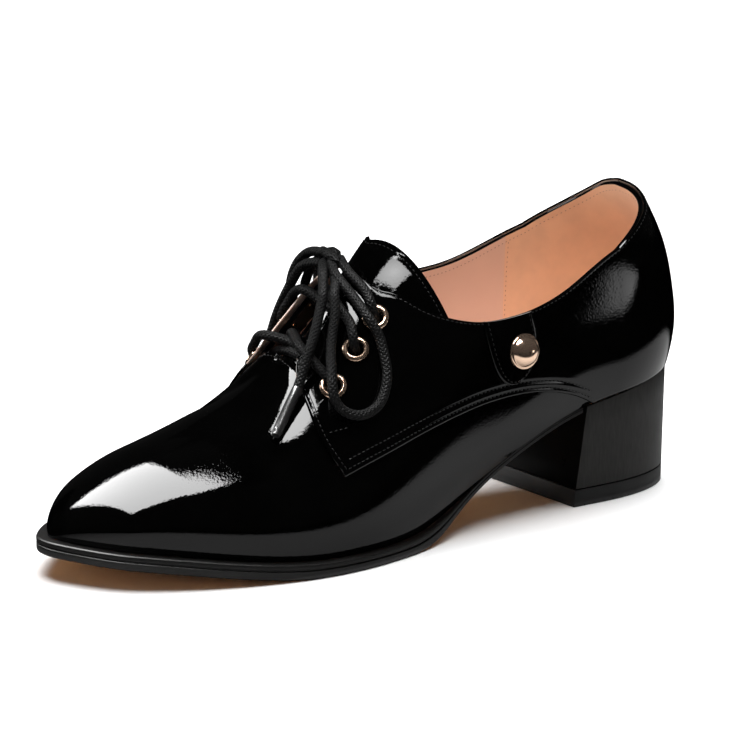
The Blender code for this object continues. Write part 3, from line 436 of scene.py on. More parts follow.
class ShoeColours(PropertyGroup):
    """Colours of the shoe's materials"""
    patent: colour_setting("Patent leather", "Leather under the clear gloss coat", (0.0006, 0.0006, 0.0006))
    lining: colour_setting("Lining", "Smooth lining leather", (0.830, 0.600, 0.485))
    heel_grip: colour_setting("Heel grip", "Napped leather at the heel's inside", (0.900, 0.600, 0.390))
    sock: colour_setting("Sock", "Leather under the foot", (0.680, 0.470, 0.390))
    # Painted shade: black put on the lining inside the facings, where the throat lies in shadow
    painted_throat_shade: colour_setting("Painted throat shade", "Painted shade on the lining inside the facings", (0.004, 0.004, 0.004))
    sole_edge: colour_setting("Sole edge", "Painted edge of the outsole", (0.0045, 0.0042, 0.0040))
    sole_bottom: colour_setting("Sole bottom", "Underside of the outsole", (0.420, 0.200, 0.070))
    heel_cover: colour_setting("Heel cover", "Satin cover of the block heel", (0.018, 0.0176, 0.0168))
    # Painted shade: the breast is made darker than the heel cover because it lies in the arch's shadow
    heel_breast_shade: colour_setting("Heel breast shade", "Front of the block heel", (0.0015, 0.0015, 0.0015))
    heel_lift: colour_setting("Heel lift", "Rubber of the top piece", (0.006, 0.006, 0.006))
    cut_edge: colour_setting("Cut edge", "Raw edge of the side tab", (0.100, 0.095, 0.090))
    gold: colour_setting("Gold", "Plating of eyelets and stud", (0.950, 0.670, 0.490))
    lace: colour_setting("Lace", "Waxed round cord", (0.0038, 0.0038, 0.0038))
    aglet: colour_setting("Aglet", "Film round the lace's tips", (0.012, 0.012, 0.012))
    thread: colour_setting("Thread", "Stitching on the patent leather", (0.003, 0.003, 0.003))
    lining_thread: colour_setting("Lining thread", "Stitching on the lining", (0.420, 0.230, 0.170))
    floor: colour_setting("Floor", "Pale studio floor", (0.900, 0.900, 0.900))


class ShoeStudio(PropertyGroup):
    """Camera and light"""
    azimuth: FloatProperty(
        name="Azimuth", description="Turn of the camera round the shoe, 0 looking along +Y",
        default=math.radians(145.5), subtype="ANGLE")
    elevation: FloatProperty(
        name="Elevation", description="Camera's angle over the floor",
        default=math.radians(13.97), subtype="ANGLE")
    distance: length_setting("Distance", "From the camera to the middle of the shoe", 1.0015)
    lens: FloatProperty(name="Lens", description="Focal length in millimetres", default=142.0, unit="CAMERA")
    ambient: FloatProperty(name="Ambient", description="Strength of the even light all round", default=0.045)
    fill: FloatProperty(name="Fill", description="Power of the soft overhead light in watts", default=150.0)
    softbox: FloatProperty(name="Softbox", description="Brightness of the softboxes", default=26.0)
    room: FloatProperty(name="Room", description="Brightness of the studio in the gloss", default=0.015)


# The last
def sizes():
    """The shoe's sizes, as set in the sidebar."""
    return bpy.context.scene.shoe_sizes


def colours():
    """The shoe's colours, as set in the sidebar."""
    return bpy.context.scene.shoe_colours


def quarter_face():
    """Height of the quarters' outer face over the last."""
    return sizes().quarter_gap + sizes().quarter_skin


def tab_face():
    """Height of the side tab's outer face over the last."""
    return quarter_face() + sizes().tab_skin + SLIVER


def natural_curve(knots, values, at):
    """Natural cubic curve through the values at the knots, read at the given places."""
    steps = np.diff(knots)
    count = len(knots)
    matrix = np.eye(count)
    right = np.zeros(count)
    for k in range(1, count - 1):
        matrix[k, k - 1:k + 2] = steps[k - 1], 2 * (steps[k - 1] + steps[k]), steps[k]
        right[k] = 6 * ((values[k + 1] - values[k]) / steps[k] - (values[k] - values[k - 1]) / steps[k - 1])
    bend = np.linalg.solve(matrix, right)
    k = np.clip(np.searchsorted(knots, at) - 1, 0, count - 2)
    after = knots[k + 1] - at
    before = at - knots[k]
    curve = (bend[k] * after ** 3 + bend[k + 1] * before ** 3) / (6 * steps[k])
    curve += (values[k] / steps[k] - bend[k] * steps[k] / 6) * after
    return curve + (values[k + 1] / steps[k] - bend[k + 1] * steps[k] / 6) * before


def column(table, name, at):
    """One named column of a table, read at places along its first column."""
    return natural_curve(table[table.dtype.names[0]], table[name], np.asarray(at, float))


def tip_round(distance, radius):
    """0 at the tip, rounding up to 1 at the given distance from it."""
    share = np.clip(distance / radius, 0.0, 1.0)
    return np.sqrt(np.maximum(0.0, 1.0 - (1.0 - share) ** 2))


def station(walk):
    """Place along the shoe, and turn round the heel in radians, for each walk."""
    fore = np.clip(walk / WALK_JOIN, 0.0, 1.0)
    x = sizes().length - (sizes().length - HEEL_JOIN) * fore ** WALK_BUNCH
    turn = np.clip((walk - WALK_JOIN) / (1.0 - WALK_JOIN), 0.0, 1.0) * math.pi / 2
    return x, turn


def walk_at(x):
    """Walk of a place along the shoe, in front of the heel's round."""
    return WALK_JOIN * ((sizes().length - x) / (sizes().length - HEEL_JOIN)) ** (1.0 / WALK_BUNCH)


def feather_height(x):
    """Height of the feather line over the floor, where upper and sole meet."""
    along = np.clip(np.asarray(x, float) / sizes().length, 0.0, 1.0)
    pitch = column(LAST, "pitch", along) * (sizes().heel_height - SOLE_EDGE)
    return SOLE_EDGE + pitch + column(LAST, "spring", along) * sizes().toe_spring


def arch(share, full):
    """Section curve from the widest line to the ridge: shares of the half width and of the height."""
    left = 1.0 - share
    out = left ** 3 + 3 * left ** 2 * share + 3 * left * share ** 2 * full
    up = 3 * left ** 2 * share * full + 3 * left * share ** 2 + share ** 3
    return out, up


def section(side, walk):
    """Sizes of the section at each walk."""
    x, turn = station(walk)
    along = x / sizes().length
    tip_side = TIP_SIDE_SHARE * sizes().ball_width
    plan = tip_round(sizes().length - x, TIP_PLAN_RADIUS)
    profile = tip_round(sizes().length - x, TIP_PROFILE_RADIUS)
    ridge = tip_side + (column(LAST, "ridge", along) * sizes().ball_width - tip_side) * plan
    half = column(LAST, "outer" if side > 0 else "inner", along) * sizes().ball_width
    edge = side * tip_side + (half - side * tip_side) * plan
    bulge = column(LAST, "bulge", along) * profile
    feather = feather_height(x - np.sin(turn) * HEEL_JOIN)
    crown = column(LAST, "crown", along) * sizes().instep_height
    return {
        "x": x, "turn": turn, "ridge": ridge, "span": edge - side * ridge, "bulge": bulge,
        "feather": feather, "height": (crown - feather_height(x)) * profile - bulge,
        "tuck": column(LAST, "tuck", along) * plan, "full": column(LAST, "full", along)}


def bare_last(side, walk, rise):
    """Points of the last's surface; walk and rise are arrays of one shape."""
    size = section(side, walk)
    low = np.minimum(rise, 0.0)
    out, up = arch(np.clip(rise, 0.0, 1.0), size["full"])
    y = side * size["ridge"] + size["span"] * out - size["tuck"] * low ** 2
    z = size["feather"] + size["bulge"] * (1.0 + low) + size["height"] * up
    limits = BACK["up"][0], BACK["up"][-1]
    inset = column(BACK, "inset", np.clip(z - size["feather"], *limits))
    turned = np.sin(size["turn"])
    x = size["x"] - turned * (HEEL_JOIN - REARMOST - inset)
    y = y * np.maximum(0.0, 1.0 - turned ** HEEL_ROUND) ** (1.0 / HEEL_ROUND)
    return np.stack([x, side * y, z], axis=-1)


def last_normals(side, walk, rise):
    """Outward directions of the last's surface."""
    step = 1e-3
    walk, rise = np.broadcast_arrays(np.asarray(walk, float), np.asarray(rise, float))
    walk = np.clip(walk, 8 * step, 1.0)
    walk_a, walk_b = np.clip(walk - step, 0.0, 1.0), np.clip(walk + step, 0.0, 1.0)
    rise_a, rise_b = np.clip(rise - step, -1.0, 1.0), np.clip(rise + step, -1.0, 1.0)
    along = bare_last(side, walk_b, rise) - bare_last(side, walk_a, rise)
    up = bare_last(side, walk, rise_b) - bare_last(side, walk, rise_a)
    normal = side * np.cross(along, up)
    return normal / np.maximum(np.linalg.norm(normal, axis=-1, keepdims=True), LEAST_LENGTH)


def last_points(side, walk, rise, lift=0.0):
    """Points at a height over the last's surface, in the part's frame."""
    walk, rise = np.broadcast_arrays(np.asarray(walk, float), np.asarray(rise, float))
    points = bare_last(side, walk, rise)
    lift = np.asarray(lift, float)
    if np.any(lift):
        points = points + last_normals(side, walk, rise) * np.broadcast_to(lift, walk.shape)[..., None]
    return points - ORIGIN


def solve_share(wanted, falling):
    """Share from 0 to 1 at which a falling function comes down to the wanted value."""
    low = np.zeros(np.shape(wanted))
    high = np.ones(np.shape(wanted))
    for _ in range(40):
        middle = (low + high) / 2
        above = falling(middle) > wanted
        low = np.where(above, middle, low)
        high = np.where(above, high, middle)
    return (low + high) / 2


def top_edge(side, walk, inset=0.0):
    """Rise of the quarter's top edge: the facing beside the throat, then the collar."""
    walk = np.asarray(walk, float)
    size = section(side, walk)
    name = "outer" if side > 0 else "inner"
    collar = column(COLLAR, name, np.clip(walk, COLLAR["walk"][0], 1.0)) - inset
    height = (collar - size["feather"] - size["bulge"]) / np.maximum(size["height"], TINY)
    across = (FACING_HALF_GAP + inset) / np.maximum(size["span"], TINY)
    by_height = solve_share(-height, lambda share: -arch(share, size["full"])[1])
    by_side = solve_share(across, lambda share: arch(share, size["full"])[0])
    return np.minimum(by_height, by_side)


def seam_edge(walk):
    """Rise of the quarter's lower seam, which runs into the feather line at the heel."""
    size = section(1, walk)
    height = column(SEAM, "height", np.clip(walk, SEAM["walk"][0], SEAM["walk"][-1]))
    height = np.maximum(np.where(walk < SEAM["walk"][-1], height, 0.0), SEAM_LEAST)
    share = (height - size["bulge"]) / np.maximum(size["height"], TINY)
    above = solve_share(-share, lambda rise: -arch(rise, size["full"])[1])
    return np.where(share > 0.0, above, height / np.maximum(size["bulge"], TINY) - 1.0)


def rise_between(low, top, v):
    """Rise for a share of the way up, with a set share of the rows below the widest line."""
    share = np.maximum(LOW_SHARE * np.clip(-low, 0.0, 1.0), TINY)
    below = low * (1.0 - v / share)
    start = np.maximum(low, 0.0)
    above = start + (top - start) * (v - share) / (1.0 - share)
    return np.where(v < share, below, above)


def ease(share):
    """A soft step from 0 to 1."""
    share = np.clip(share, 0.0, 1.0)
    return share * share * (3.0 - 2.0 * share)


def throat_dip(walk, rise):
    """How far the vamp sinks towards the tongue, between the facings."""
    start, end = THROAT_DIP_WALKS
    edge = THROAT_DIP_RISE + (walk - start) * THROAT_DIP_SLANT
    return THROAT_DIP * ease((walk - start) / (end - start)) * ease((rise - edge) / THROAT_DIP_SOFTNESS)


def crease_lift(side, points):
    """Height of the soft troughs and ridges at points of the vamp."""
    lift = np.zeros(points.shape[:-1])
    for row in CREASES[CREASES["side"] == side]:
        start = last_points(side, row["walk_a"], row["rise_a"])
        way = last_points(side, row["walk_b"], row["rise_b"]) - start
        share = np.clip((points - start) @ way / (way @ way), 0.0, 1.0)
        distance = np.linalg.norm(points - start - share[..., None] * way, axis=-1)
        fade = np.sin(math.pi * np.clip(share, *CREASE_ENDS))
        lift += row["height"] * np.exp(-(distance / row["width"]) ** 2) * fade
    return lift


# Modelling helpers
def deselect_all():
    """Leave nothing selected, so that an operator acts on the new piece alone."""
    bpy.ops.object.select_all(action="DESELECT")


def select_only(piece):
    """Make one piece the selected and active one."""
    deselect_all()
    piece.select_set(True)
    bpy.context.view_layer.objects.active = piece


def named(name):
    """Give the object that was just added its name."""
    piece = bpy.context.active_object
    piece.name = name
    piece.data.name = name
    return piece


def coordinates(piece):
    """The piece's corners as an array of points."""
    flat = np.empty(len(piece.data.vertices) * 3)
    piece.data.vertices.foreach_get("co", flat)
    return flat.reshape(-1, 3)


def move_points(piece, points):
    """Put the piece's corners at the given points."""
    piece.data.vertices.foreach_set("co", np.ascontiguousarray(points, float).ravel())
    piece.data.update()


def edit(piece, *steps):
    """Run edit-mode operators, each on the whole piece."""
    select_only(piece)
    bpy.ops.object.mode_set(mode="EDIT")
    for step in steps:
        bpy.ops.mesh.select_all(action="SELECT")
        step()
    bpy.ops.object.mode_set(mode="OBJECT")


def merge():
    """Merge corners that meet."""
    bpy.ops.mesh.remove_doubles(threshold=WELD)


def face_out():
    """Turn all faces the same way, outwards."""
    bpy.ops.mesh.normals_make_consistent(inside=False)


def flip():
    """Turn all faces round."""
    bpy.ops.mesh.flip_normals()


def apply_change(piece, kind, **settings):
    """Add a modifier, set it and apply it."""
    change = piece.modifiers.new(kind.title(), kind)
    for name, value in settings.items():
        setattr(change, name, value)
    select_only(piece)
    bpy.ops.object.modifier_apply(modifier=change.name)


def smooth(piece, degrees):
    """Shade the piece smooth, with sharp edges over an angle."""
    select_only(piece)
    bpy.ops.object.shade_smooth_by_angle(angle=math.radians(degrees))


def seat(piece, slot, *nodes):
    """Seat a finished piece on the shoe's one body, in place of the solids that it stands for."""
    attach(piece, "root")
    if nodes:
        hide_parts(*nodes)
    return piece


def new_grid(name, columns, rows):
    """A flat grid, and the column and row of each of its corners."""
    deselect_all()
    bpy.ops.mesh.primitive_grid_add(x_subdivisions=columns - 1, y_subdivisions=rows - 1, size=1.0)
    piece = named(name)
    flat = coordinates(piece) + 0.5
    i = np.rint(flat[:, 0] * (columns - 1)).astype(int)
    j = np.rint(flat[:, 1] * (rows - 1)).astype(int)
    return piece, i, j


def lay_grid(name, points):
    """A grid laid at points[column, row]."""
    piece, i, j = new_grid(name, *points.shape[:2])
    move_points(piece, points[i, j])
    return piece


def thicken(piece, wall, **slots):
    """Give a skin its wall, inwards from its face; slots says which materials the new faces take."""
    apply_change(piece, "SOLIDIFY", thickness=wall, offset=-1.0, use_quality_normals=True, **slots)


def remove(piece):
    """Take a helper object out of the scene."""
    bpy.data.objects.remove(piece, do_unlink=True)


def join(name, pieces):
    """Join pieces into one."""
    select_only(pieces[0])
    for piece in pieces:
        piece.select_set(True)
    bpy.ops.object.join()
    return named(name)


def place_copy(pattern, name, place):
    """A copy of a pattern with its own mesh, put in its place by a matrix."""
    piece = pattern.copy()
    piece.data = pattern.data.copy()
    piece.name = name
    piece.data.name = name
    piece.data.transform(place)
    bpy.context.collection.objects.link(piece)
    return piece


def join_copies(name, pattern, places):
    """One piece of a pattern's copies at all the places, in the pattern's stead."""
    piece = join(name, [place_copy(pattern, name, place) for place in places])
    remove(pattern)
    return piece


def stand_matrix(side, walk, rise, lift):
    """Place at a height over the last, with Z along the last's normal."""
    place = Vector(last_points(side, walk, rise, lift))
    normal = Vector(last_normals(side, walk, rise))
    return Matrix.Translation(place) @ normal.to_track_quat("Z", "Y").to_matrix().to_4x4()


def run_lengths(points, axis):
    """Length run along rows of points, from 0."""
    steps = np.linalg.norm(np.diff(points, axis=axis), axis=-1)
    start = np.zeros_like(np.take(steps, [0], axis=axis))
    return np.concatenate([start, np.cumsum(steps, axis=axis)], axis=axis)


def graded(total, middle, far=True):
    """Distances from 0 to the total: close steps at the edges and even ones between."""
    last = EDGE_STEPS[-1]
    if not far:
        return np.concatenate([EDGE_STEPS, np.linspace(last, total, middle + 1)[1:]])
    even = np.linspace(last, total - last, middle + 1)[1:-1]
    return np.concatenate([EDGE_STEPS, even, total - EDGE_STEPS[::-1]])


def close_at_ends(count):
    """Shares from 0 to 1 that lie closer together at both ends."""
    return (1.0 - np.cos(np.linspace(0.0, math.pi, count))) / 2


def edge_roll(distance, reach, drop):
    """How far a skin's face sinks as it rolls over its edge."""
    return drop * (1.0 - tip_round(distance, reach))


def groove(distance, row, depth, width):
    """A stitch groove at a distance from an edge."""
    return depth * np.exp(-((distance - row) / width) ** 2)


def smooth_path(points, spacing):
    """Points at about the spacing along a smooth curve through the given points."""
    points = np.array([list(point) for point in points], float)
    knots = run_lengths(points, 0)
    places = np.linspace(0.0, knots[-1], max(4, int(round(knots[-1] / spacing)) + 1))
    return np.column_stack([natural_curve(knots, points[:, axis], places) for axis in range(3)])


# Materials
def new_material(name, colour, roughness, **sockets):
    """A Principled material with its even values on the shader's own sockets."""
    made = bpy.data.materials.new(name)
    made.use_nodes = True
    shader = made.node_tree.nodes["Principled BSDF"]
    shader.inputs["Base Color"].default_value = (*colour, 1.0)
    shader.inputs["Roughness"].default_value = roughness
    for socket, value in sockets.items():
        shader.inputs[socket.replace("_", " ")].default_value = value
    return made, shader


def add_node(made, kind, links=(), **settings):
    """A node with its settings; links are pairs of input name and the output that feeds it."""
    node = made.node_tree.nodes.new(kind)
    for name, value in settings.items():
        if name in node.inputs:
            node.inputs[name].default_value = value
        else:
            setattr(node, name, value)
    for name, output in links:
        made.node_tree.links.new(output, node.inputs[name])
    return node


def place_of(made, kind="Object"):
    """Texture coordinates of the piece."""
    return add_node(made, "ShaderNodeTexCoord").outputs[kind]


def noise(made, place, scale, detail=2.0, rough=0.5):
    """Noise over the piece, in repeats to the metre."""
    links = [("Vector", place)]
    node = add_node(made, "ShaderNodeTexNoise", links, Scale=scale, Detail=detail, Roughness=rough)
    return node.outputs["Fac"]


def bump(made, height, strength, distance, normal=None):
    """A bump from a height, over another bump if one is given."""
    links = [("Height", height)] + ([("Normal", normal)] if normal else [])
    return add_node(made, "ShaderNodeBump", links, Strength=strength, Distance=distance).outputs["Normal"]


def tint(made, factor, first, second, low=0.35, high=0.65):
    """A colour that goes from one to another as a factor goes from low to high."""
    ramp = add_node(made, "ShaderNodeValToRGB", [("Fac", factor)])
    for stop, place, colour in zip(ramp.color_ramp.elements, (low, high), (first, second)):
        stop.position = place
        stop.color = (*colour, 1.0)
    return ramp.outputs["Color"]


def spread(made, factor, low, high):
    """A number that goes from low to high with a factor."""
    limits = {"To Min": low, "To Max": high}
    return add_node(made, "ShaderNodeMapRange", [("Value", factor)], **limits).outputs["Result"]


def feed(made, shader, **outputs):
    """Link outputs to the shader's sockets."""
    for socket, output in outputs.items():
        made.node_tree.links.new(output, shader.inputs[socket.replace("_", " ")])
    return made


def shade(colour, factor):
    """The colour made darker or lighter."""
    return tuple(min(1.0, part * factor) for part in colour)


def patent_leather():
    """Black leather under a clear coat, with a fine grain that ruffles the edges of what it mirrors."""
    black = colours().patent
    made, shader = new_material(
        "Patent leather", black, 0.5, Coat_Weight=1.0, Coat_Roughness=0.02, Coat_IOR=1.34,
        Specular_IOR_Level=0.0)
    place = place_of(made)
    grain = noise(made, place, 1300.0, 2.0)
    wave = noise(made, place, 110.0, 1.0)
    slow = bump(made, wave, 0.02, 0.0006)
    gloss = bump(made, grain, 0.32, 0.00006, slow)
    leather = bump(made, grain, 0.4, 0.00012)
    mottle = tint(made, noise(made, place, 60.0), shade(black, 0.8), shade(black, 1.3))
    return feed(made, shader, Base_Color=mottle, Normal=leather, Coat_Normal=gloss)


def lining_leather(name, colour, nap):
    """Smooth lining leather with fine pores, or napped leather with a cloudy brushed look."""
    made, shader = new_material(name, colour, 0.85 if nap else 0.48, Sheen_Weight=0.35 if nap else 0.05)
    place = place_of(made)
    cloud = noise(made, place, 90.0 if nap else 35.0, 3.0, 0.6)
    fibre = noise(made, place, 2200.0, 3.0, 0.7)
    tone = tint(made, cloud, shade(colour, 0.95 if nap else 0.97), shade(colour, 1.04 if nap else 1.02))
    pores = bump(made, fibre, 0.35 if nap else 0.15, 0.0002 if nap else 0.0001)
    return feed(made, shader, Base_Color=tone, Normal=pores)


def satin_cover():
    """Satin heel cover with a faint upright grain."""
    colour = colours().heel_cover
    made, shader = new_material("Heel cover", colour, 0.45, Specular_IOR_Level=0.09)
    place = place_of(made)
    stretched = add_node(made, "ShaderNodeMapping", [("Vector", place)], Scale=(1.0, 1.0, 0.12))
    grain = noise(made, stretched.outputs["Vector"], 1500.0, 3.0, 0.6)
    rough = spread(made, noise(made, place, 220.0, 2.0), 0.40, 0.54)
    tone = tint(made, grain, shade(colour, 0.85), shade(colour, 1.15))
    return feed(made, shader, Base_Color=tone, Roughness=rough, Normal=bump(made, grain, 0.12, 0.0001))


def rubber(name, colour, roughness, gloss=0.4):
    """Moulded rubber or painted edge with a fine tooth."""
    made, shader = new_material(name, colour, roughness, Specular_IOR_Level=gloss)
    place = place_of(made)
    tooth = noise(made, place, 1800.0, 3.0, 0.6)
    rough = spread(made, noise(made, place, 150.0, 2.0), roughness - 0.07, roughness + 0.09)
    tone = tint(made, noise(made, place, 80.0, 3.0), shade(colour, 0.88), shade(colour, 1.15))
    return feed(made, shader, Base_Color=tone, Roughness=rough, Normal=bump(made, tooth, 0.18, 0.00012))


def gold_plating():
    """Polished pale gold with faint polishing marks."""
    colour = colours().gold
    made, shader = new_material("Gold plating", colour, 0.12, Metallic=0.95)
    place = place_of(made)
    marks = noise(made, place, 900.0, 2.0)
    rough = spread(made, marks, 0.08, 0.18)
    tone = tint(made, noise(made, place, 300.0), shade(colour, 0.95), shade(colour, 1.05))
    return feed(made, shader, Base_Color=tone, Roughness=rough, Normal=bump(made, marks, 0.03, 0.00005))


def woven_cord():
    """Waxed round cord: two sets of braided strands on the cord's own length and girth."""
    colour = colours().lace
    made, shader = new_material("Waxed cord", colour, 0.42, Specular_IOR_Level=0.13)
    girth = place_of(made, "UV")
    weave = []
    for slant in (1.0, -1.0):
        turned = add_node(
            made, "ShaderNodeMapping", [("Vector", girth)], Rotation=(0.0, 0.0, slant * math.radians(45.0)))
        band = add_node(made, "ShaderNodeTexWave", [("Vector", turned.outputs["Vector"])], Scale=0.30)
        weave.append(band.outputs["Fac"])
    braid = add_node(made, "ShaderNodeMath", operation="MAXIMUM")
    for socket, output in zip(braid.inputs, weave):
        made.node_tree.links.new(output, socket)
    fuzz = noise(made, place_of(made), 1500.0, 2.0)
    raised = bump(made, braid.outputs["Value"], 0.8, 0.00030)
    skin = bump(made, fuzz, 0.5, 0.0003, raised)
    tone = tint(made, braid.outputs["Value"], shade(colour, 0.7), shade(colour, 1.15), 0.2, 0.9)
    rough = spread(made, fuzz, 0.25, 0.60)
    return feed(made, shader, Base_Color=tone, Roughness=rough, Normal=skin)


def twisted_thread(name, colour):
    """Sewing thread with a slight sheen."""
    made, shader = new_material(name, colour, 0.4, Specular_IOR_Level=0.25)
    fibre = noise(made, place_of(made), 5000.0, 2.0)
    tone = tint(made, fibre, shade(colour, 0.7), shade(colour, 1.3))
    return feed(made, shader, Base_Color=tone, Normal=bump(made, fibre, 0.5, 0.00008))


def aglet_film():
    """Dark gloss film round the lace's tips."""
    made, shader = new_material(
        "Aglet film", colours().aglet, 0.3, Coat_Weight=1.0, Coat_Roughness=0.06, Coat_IOR=1.5)
    weave = noise(made, place_of(made), 1300.0, 2.0)
    cord = bump(made, weave, 0.3, 0.00015)
    return feed(made, shader, Normal=cord, Coat_Normal=bump(made, weave, 0.08, 0.0001))


def studio_floor():
    """Plain pale floor with a barely visible tone."""
    pale = colours().floor
    made, shader = new_material("Studio floor", pale, 0.75, Specular_IOR_Level=0.1)
    tone = tint(made, noise(made, place_of(made), 3.0), shade(pale, 0.995), pale)
    return feed(made, shader, Base_Color=tone)


MAKERS = {
    "patent": patent_leather,
    "lining": lambda: lining_leather("Lining leather", colours().lining, False),
    "heel_grip": lambda: lining_leather("Heel grip", colours().heel_grip, True),
    "sock": lambda: lining_leather("Sock leather", colours().sock, False),
    "heel_cover": satin_cover,
    # The black on the lining inside the facings is painted shade, not a tape
    "painted_throat_shade": lambda: rubber("Painted throat shade", colours().painted_throat_shade, 0.60, 0.05),
    # The heel breast's near-black is painted shade under the arch
    "heel_breast_shade": lambda: rubber("Heel breast shade", colours().heel_breast_shade, 0.30, 0.03),
    "heel_lift": lambda: rubber("Heel lift", colours().heel_lift, 0.55, 0.3),
    "sole_edge": lambda: rubber("Sole edge", colours().sole_edge, 0.40, 0.25),
    "cut_edge": lambda: rubber("Cut edge", colours().cut_edge, 0.50),
    "sole_bottom": lambda: rubber("Sole bottom", colours().sole_bottom, 0.50),
    "gold": gold_plating,
    "lace": woven_cord,
    "thread": lambda: twisted_thread("Black thread", colours().thread),
    "lining_thread": lambda: twisted_thread("Lining thread", colours().lining_thread),
    "aglet": aglet_film,
    "floor": studio_floor,
}
MADE = {}


def finish(name):
    """A material by its short name, made when it is first asked for."""
    if name not in MADE:
        MADE[name] = MAKERS[name]()
    return MADE[name]


def paint(piece, *names):
    """Give the piece its material slots."""
    for name in names:
        piece.data.materials.append(finish(name))


# Skins of the upper
def upper_walks():
    """Walks of the upper's columns, with a step at the throat."""
    front = np.linspace(0.0, THROAT_WALKS[0], int(UPPER_COLUMNS * THROAT_WALKS[0]))
    back = np.linspace(THROAT_WALKS[1], 1.0, UPPER_COLUMNS - len(front))
    return np.concatenate([front, back])


def add_upper():
    """The lined upper: patent leather outside, lining and heel grip inside."""
    walks = upper_walks()
    halves = []
    for side in SIDES.values():
        top = np.where(walks < sum(THROAT_WALKS) / 2, 1.0, top_edge(side, walks, COLLAR_INSET))
        share = np.linspace(0.0, 1.0, UPPER_ROWS)
        rise = rise_between(np.full((len(walks), 1), -1.0), top[:, None], share[None, :])
        walk = np.broadcast_to(walks[:, None], rise.shape)
        lift = crease_lift(side, last_points(side, walk, rise)) - throat_dip(walk, rise)
        half = lay_grid("upper_half", last_points(side, walk, rise, lift))
        if side < 0:
            edit(half, flip)
        halves.append(half)
    piece = join("upper_shell", halves)
    edit(piece, merge)
    paint(piece, *UPPER_FINISHES)
    thicken(piece, sizes().upper_wall, material_offset=1)
    line_upper(piece)
    smooth(piece, 50.0)
    return piece


def line_upper(piece):
    """Give the lining behind the heel grip's slanting seam its own material, and paint the lining inside the
    facings black as painted shade.
    """
    _, lining, heel_grip, painted_throat_shade = range(len(UPPER_FINISHES))
    seam = last_points(1, np.array(HEEL_GRIP_WALKS), np.array(HEEL_GRIP_RISES))
    slope = float((seam[1, 0] - seam[0, 0]) / (seam[1, 2] - seam[0, 2]))
    walks = np.linspace(THROAT_WALKS[0], FACING_END_WALK, 40)
    rises = np.full(walks.shape, PAINTED_SHADE_RISE)
    shade_lines = {side: last_points(side, walks, rises)[::-1] for side in SIDES.values()}
    for face in piece.data.polygons:
        if face.material_index != lining:
            continue
        if face.center.x < seam[0, 0] + (face.center.z - seam[0, 2]) * slope:
            face.material_index = heel_grip
            continue
        # Lining faces above this line inside the facings turn black: painted shade where the throat lies in
        # shadow
        line = shade_lines[1 if face.center.y > 0.0 else -1]
        if line[0, 0] < face.center.x < line[-1, 0]:
            if face.center.z > np.interp(face.center.x, line[:, 0], line[:, 2]):
                face.material_index = painted_throat_shade


def quarter_track(side, u, v):
    """Walk and rise of a place on the quarter: u from its front edge to the heel, v from seam to top."""
    front = natural_curve(QUARTER_FRONT["share"], QUARTER_FRONT["walk"], v)
    walk = front + (QUARTER_BACK_WALK - front) * u
    return walk, rise_between(seam_edge(walk), top_edge(side, walk), v)


class QuarterGrid:
    """The quarter's grid: walk, rise and the distances from its seam, top and front edges."""

    def __init__(self, side):
        self.side = side
        dense_u = np.linspace(0.0, 1.0, 201)
        dense_v = np.linspace(0.0, 1.0, 141)
        middle = last_points(side, *quarter_track(side, dense_u, np.full(dense_u.shape, 0.5)))
        run = run_lengths(middle, 0)
        u = np.interp(graded(run[-1], QUARTER_COLUMNS, far=False), run, dense_u)
        every_v = np.broadcast_to(dense_v, (len(u), len(dense_v)))
        tracks = last_points(side, *quarter_track(side, u[:, None], every_v))
        runs = run_lengths(tracks, 1)
        self.from_seam = np.array([graded(row[-1], QUARTER_ROWS) for row in runs])
        v = np.array([np.interp(wanted, row, dense_v) for wanted, row in zip(self.from_seam, runs)])
        self.walk, self.rise = quarter_track(side, np.broadcast_to(u[:, None], v.shape), v)
        self.from_top = runs[:, -1:] - self.from_seam
        self.from_front = run_lengths(last_points(side, self.walk, self.rise), 0)

    def lift(self):
        """Height of the quarter's face over the last, with rolled edges, stitch grooves and gaping facing."""
        edge = np.minimum(np.minimum(self.from_seam, self.from_top), self.from_front)
        lift = np.full(edge.shape, quarter_face())
        lift -= edge_roll(edge, *QUARTER_ROLL)
        sewn = np.clip((SEAM_END_WALK - self.walk) / SEAM_FADE_WALK, 0.0, 1.0)
        for row in (FIRST_ROW, SECOND_ROW):
            lift -= sewn * groove(self.from_seam, EDGE_STEPS[row], *SEAM_GROOVE)
        lift -= groove(self.from_top, EDGE_STEPS[COLLAR_ROW], *COLLAR_GROOVE)
        lift -= groove(self.from_front, EDGE_STEPS[FIRST_ROW], *SEAM_GROOVE)
        beside_throat = np.clip((FACING_END_WALK - self.walk) / FACING_FADE_WALK, 0.0, 1.0)
        gape = np.clip(1.0 - self.from_top / FACING_GAPE_REACH, 0.0, 1.0) ** 2
        return lift + sizes().facing_gape * gape * beside_throat

    def points(self, extra=0.0):
        """The quarter's face."""
        return last_points(self.side, self.walk, self.rise, self.lift() + extra)

    def normals(self):
        """Outward directions under the quarter's face."""
        return last_normals(self.side, self.walk, self.rise)


def hole_cutter(side):
    """Round cutters through the three eyelet places of one side."""
    deselect_all()
    bpy.ops.mesh.primitive_cylinder_add(vertices=32, radius=EYELET_HOLE_RADIUS, depth=HOLE_CUT_DEPTH)
    places = [stand_matrix(side, row["walk"], row["rise"], 0.0) for row in EYELETS]
    return join_copies("hole_cutter", named("hole_pattern"), places)


def punch(piece, *sides):
    """Punch the eyelet holes of the given sides through a piece."""
    for side in sides:
        cutter = hole_cutter(side)
        apply_change(piece, "BOOLEAN", object=cutter, operation="DIFFERENCE")
        remove(cutter)


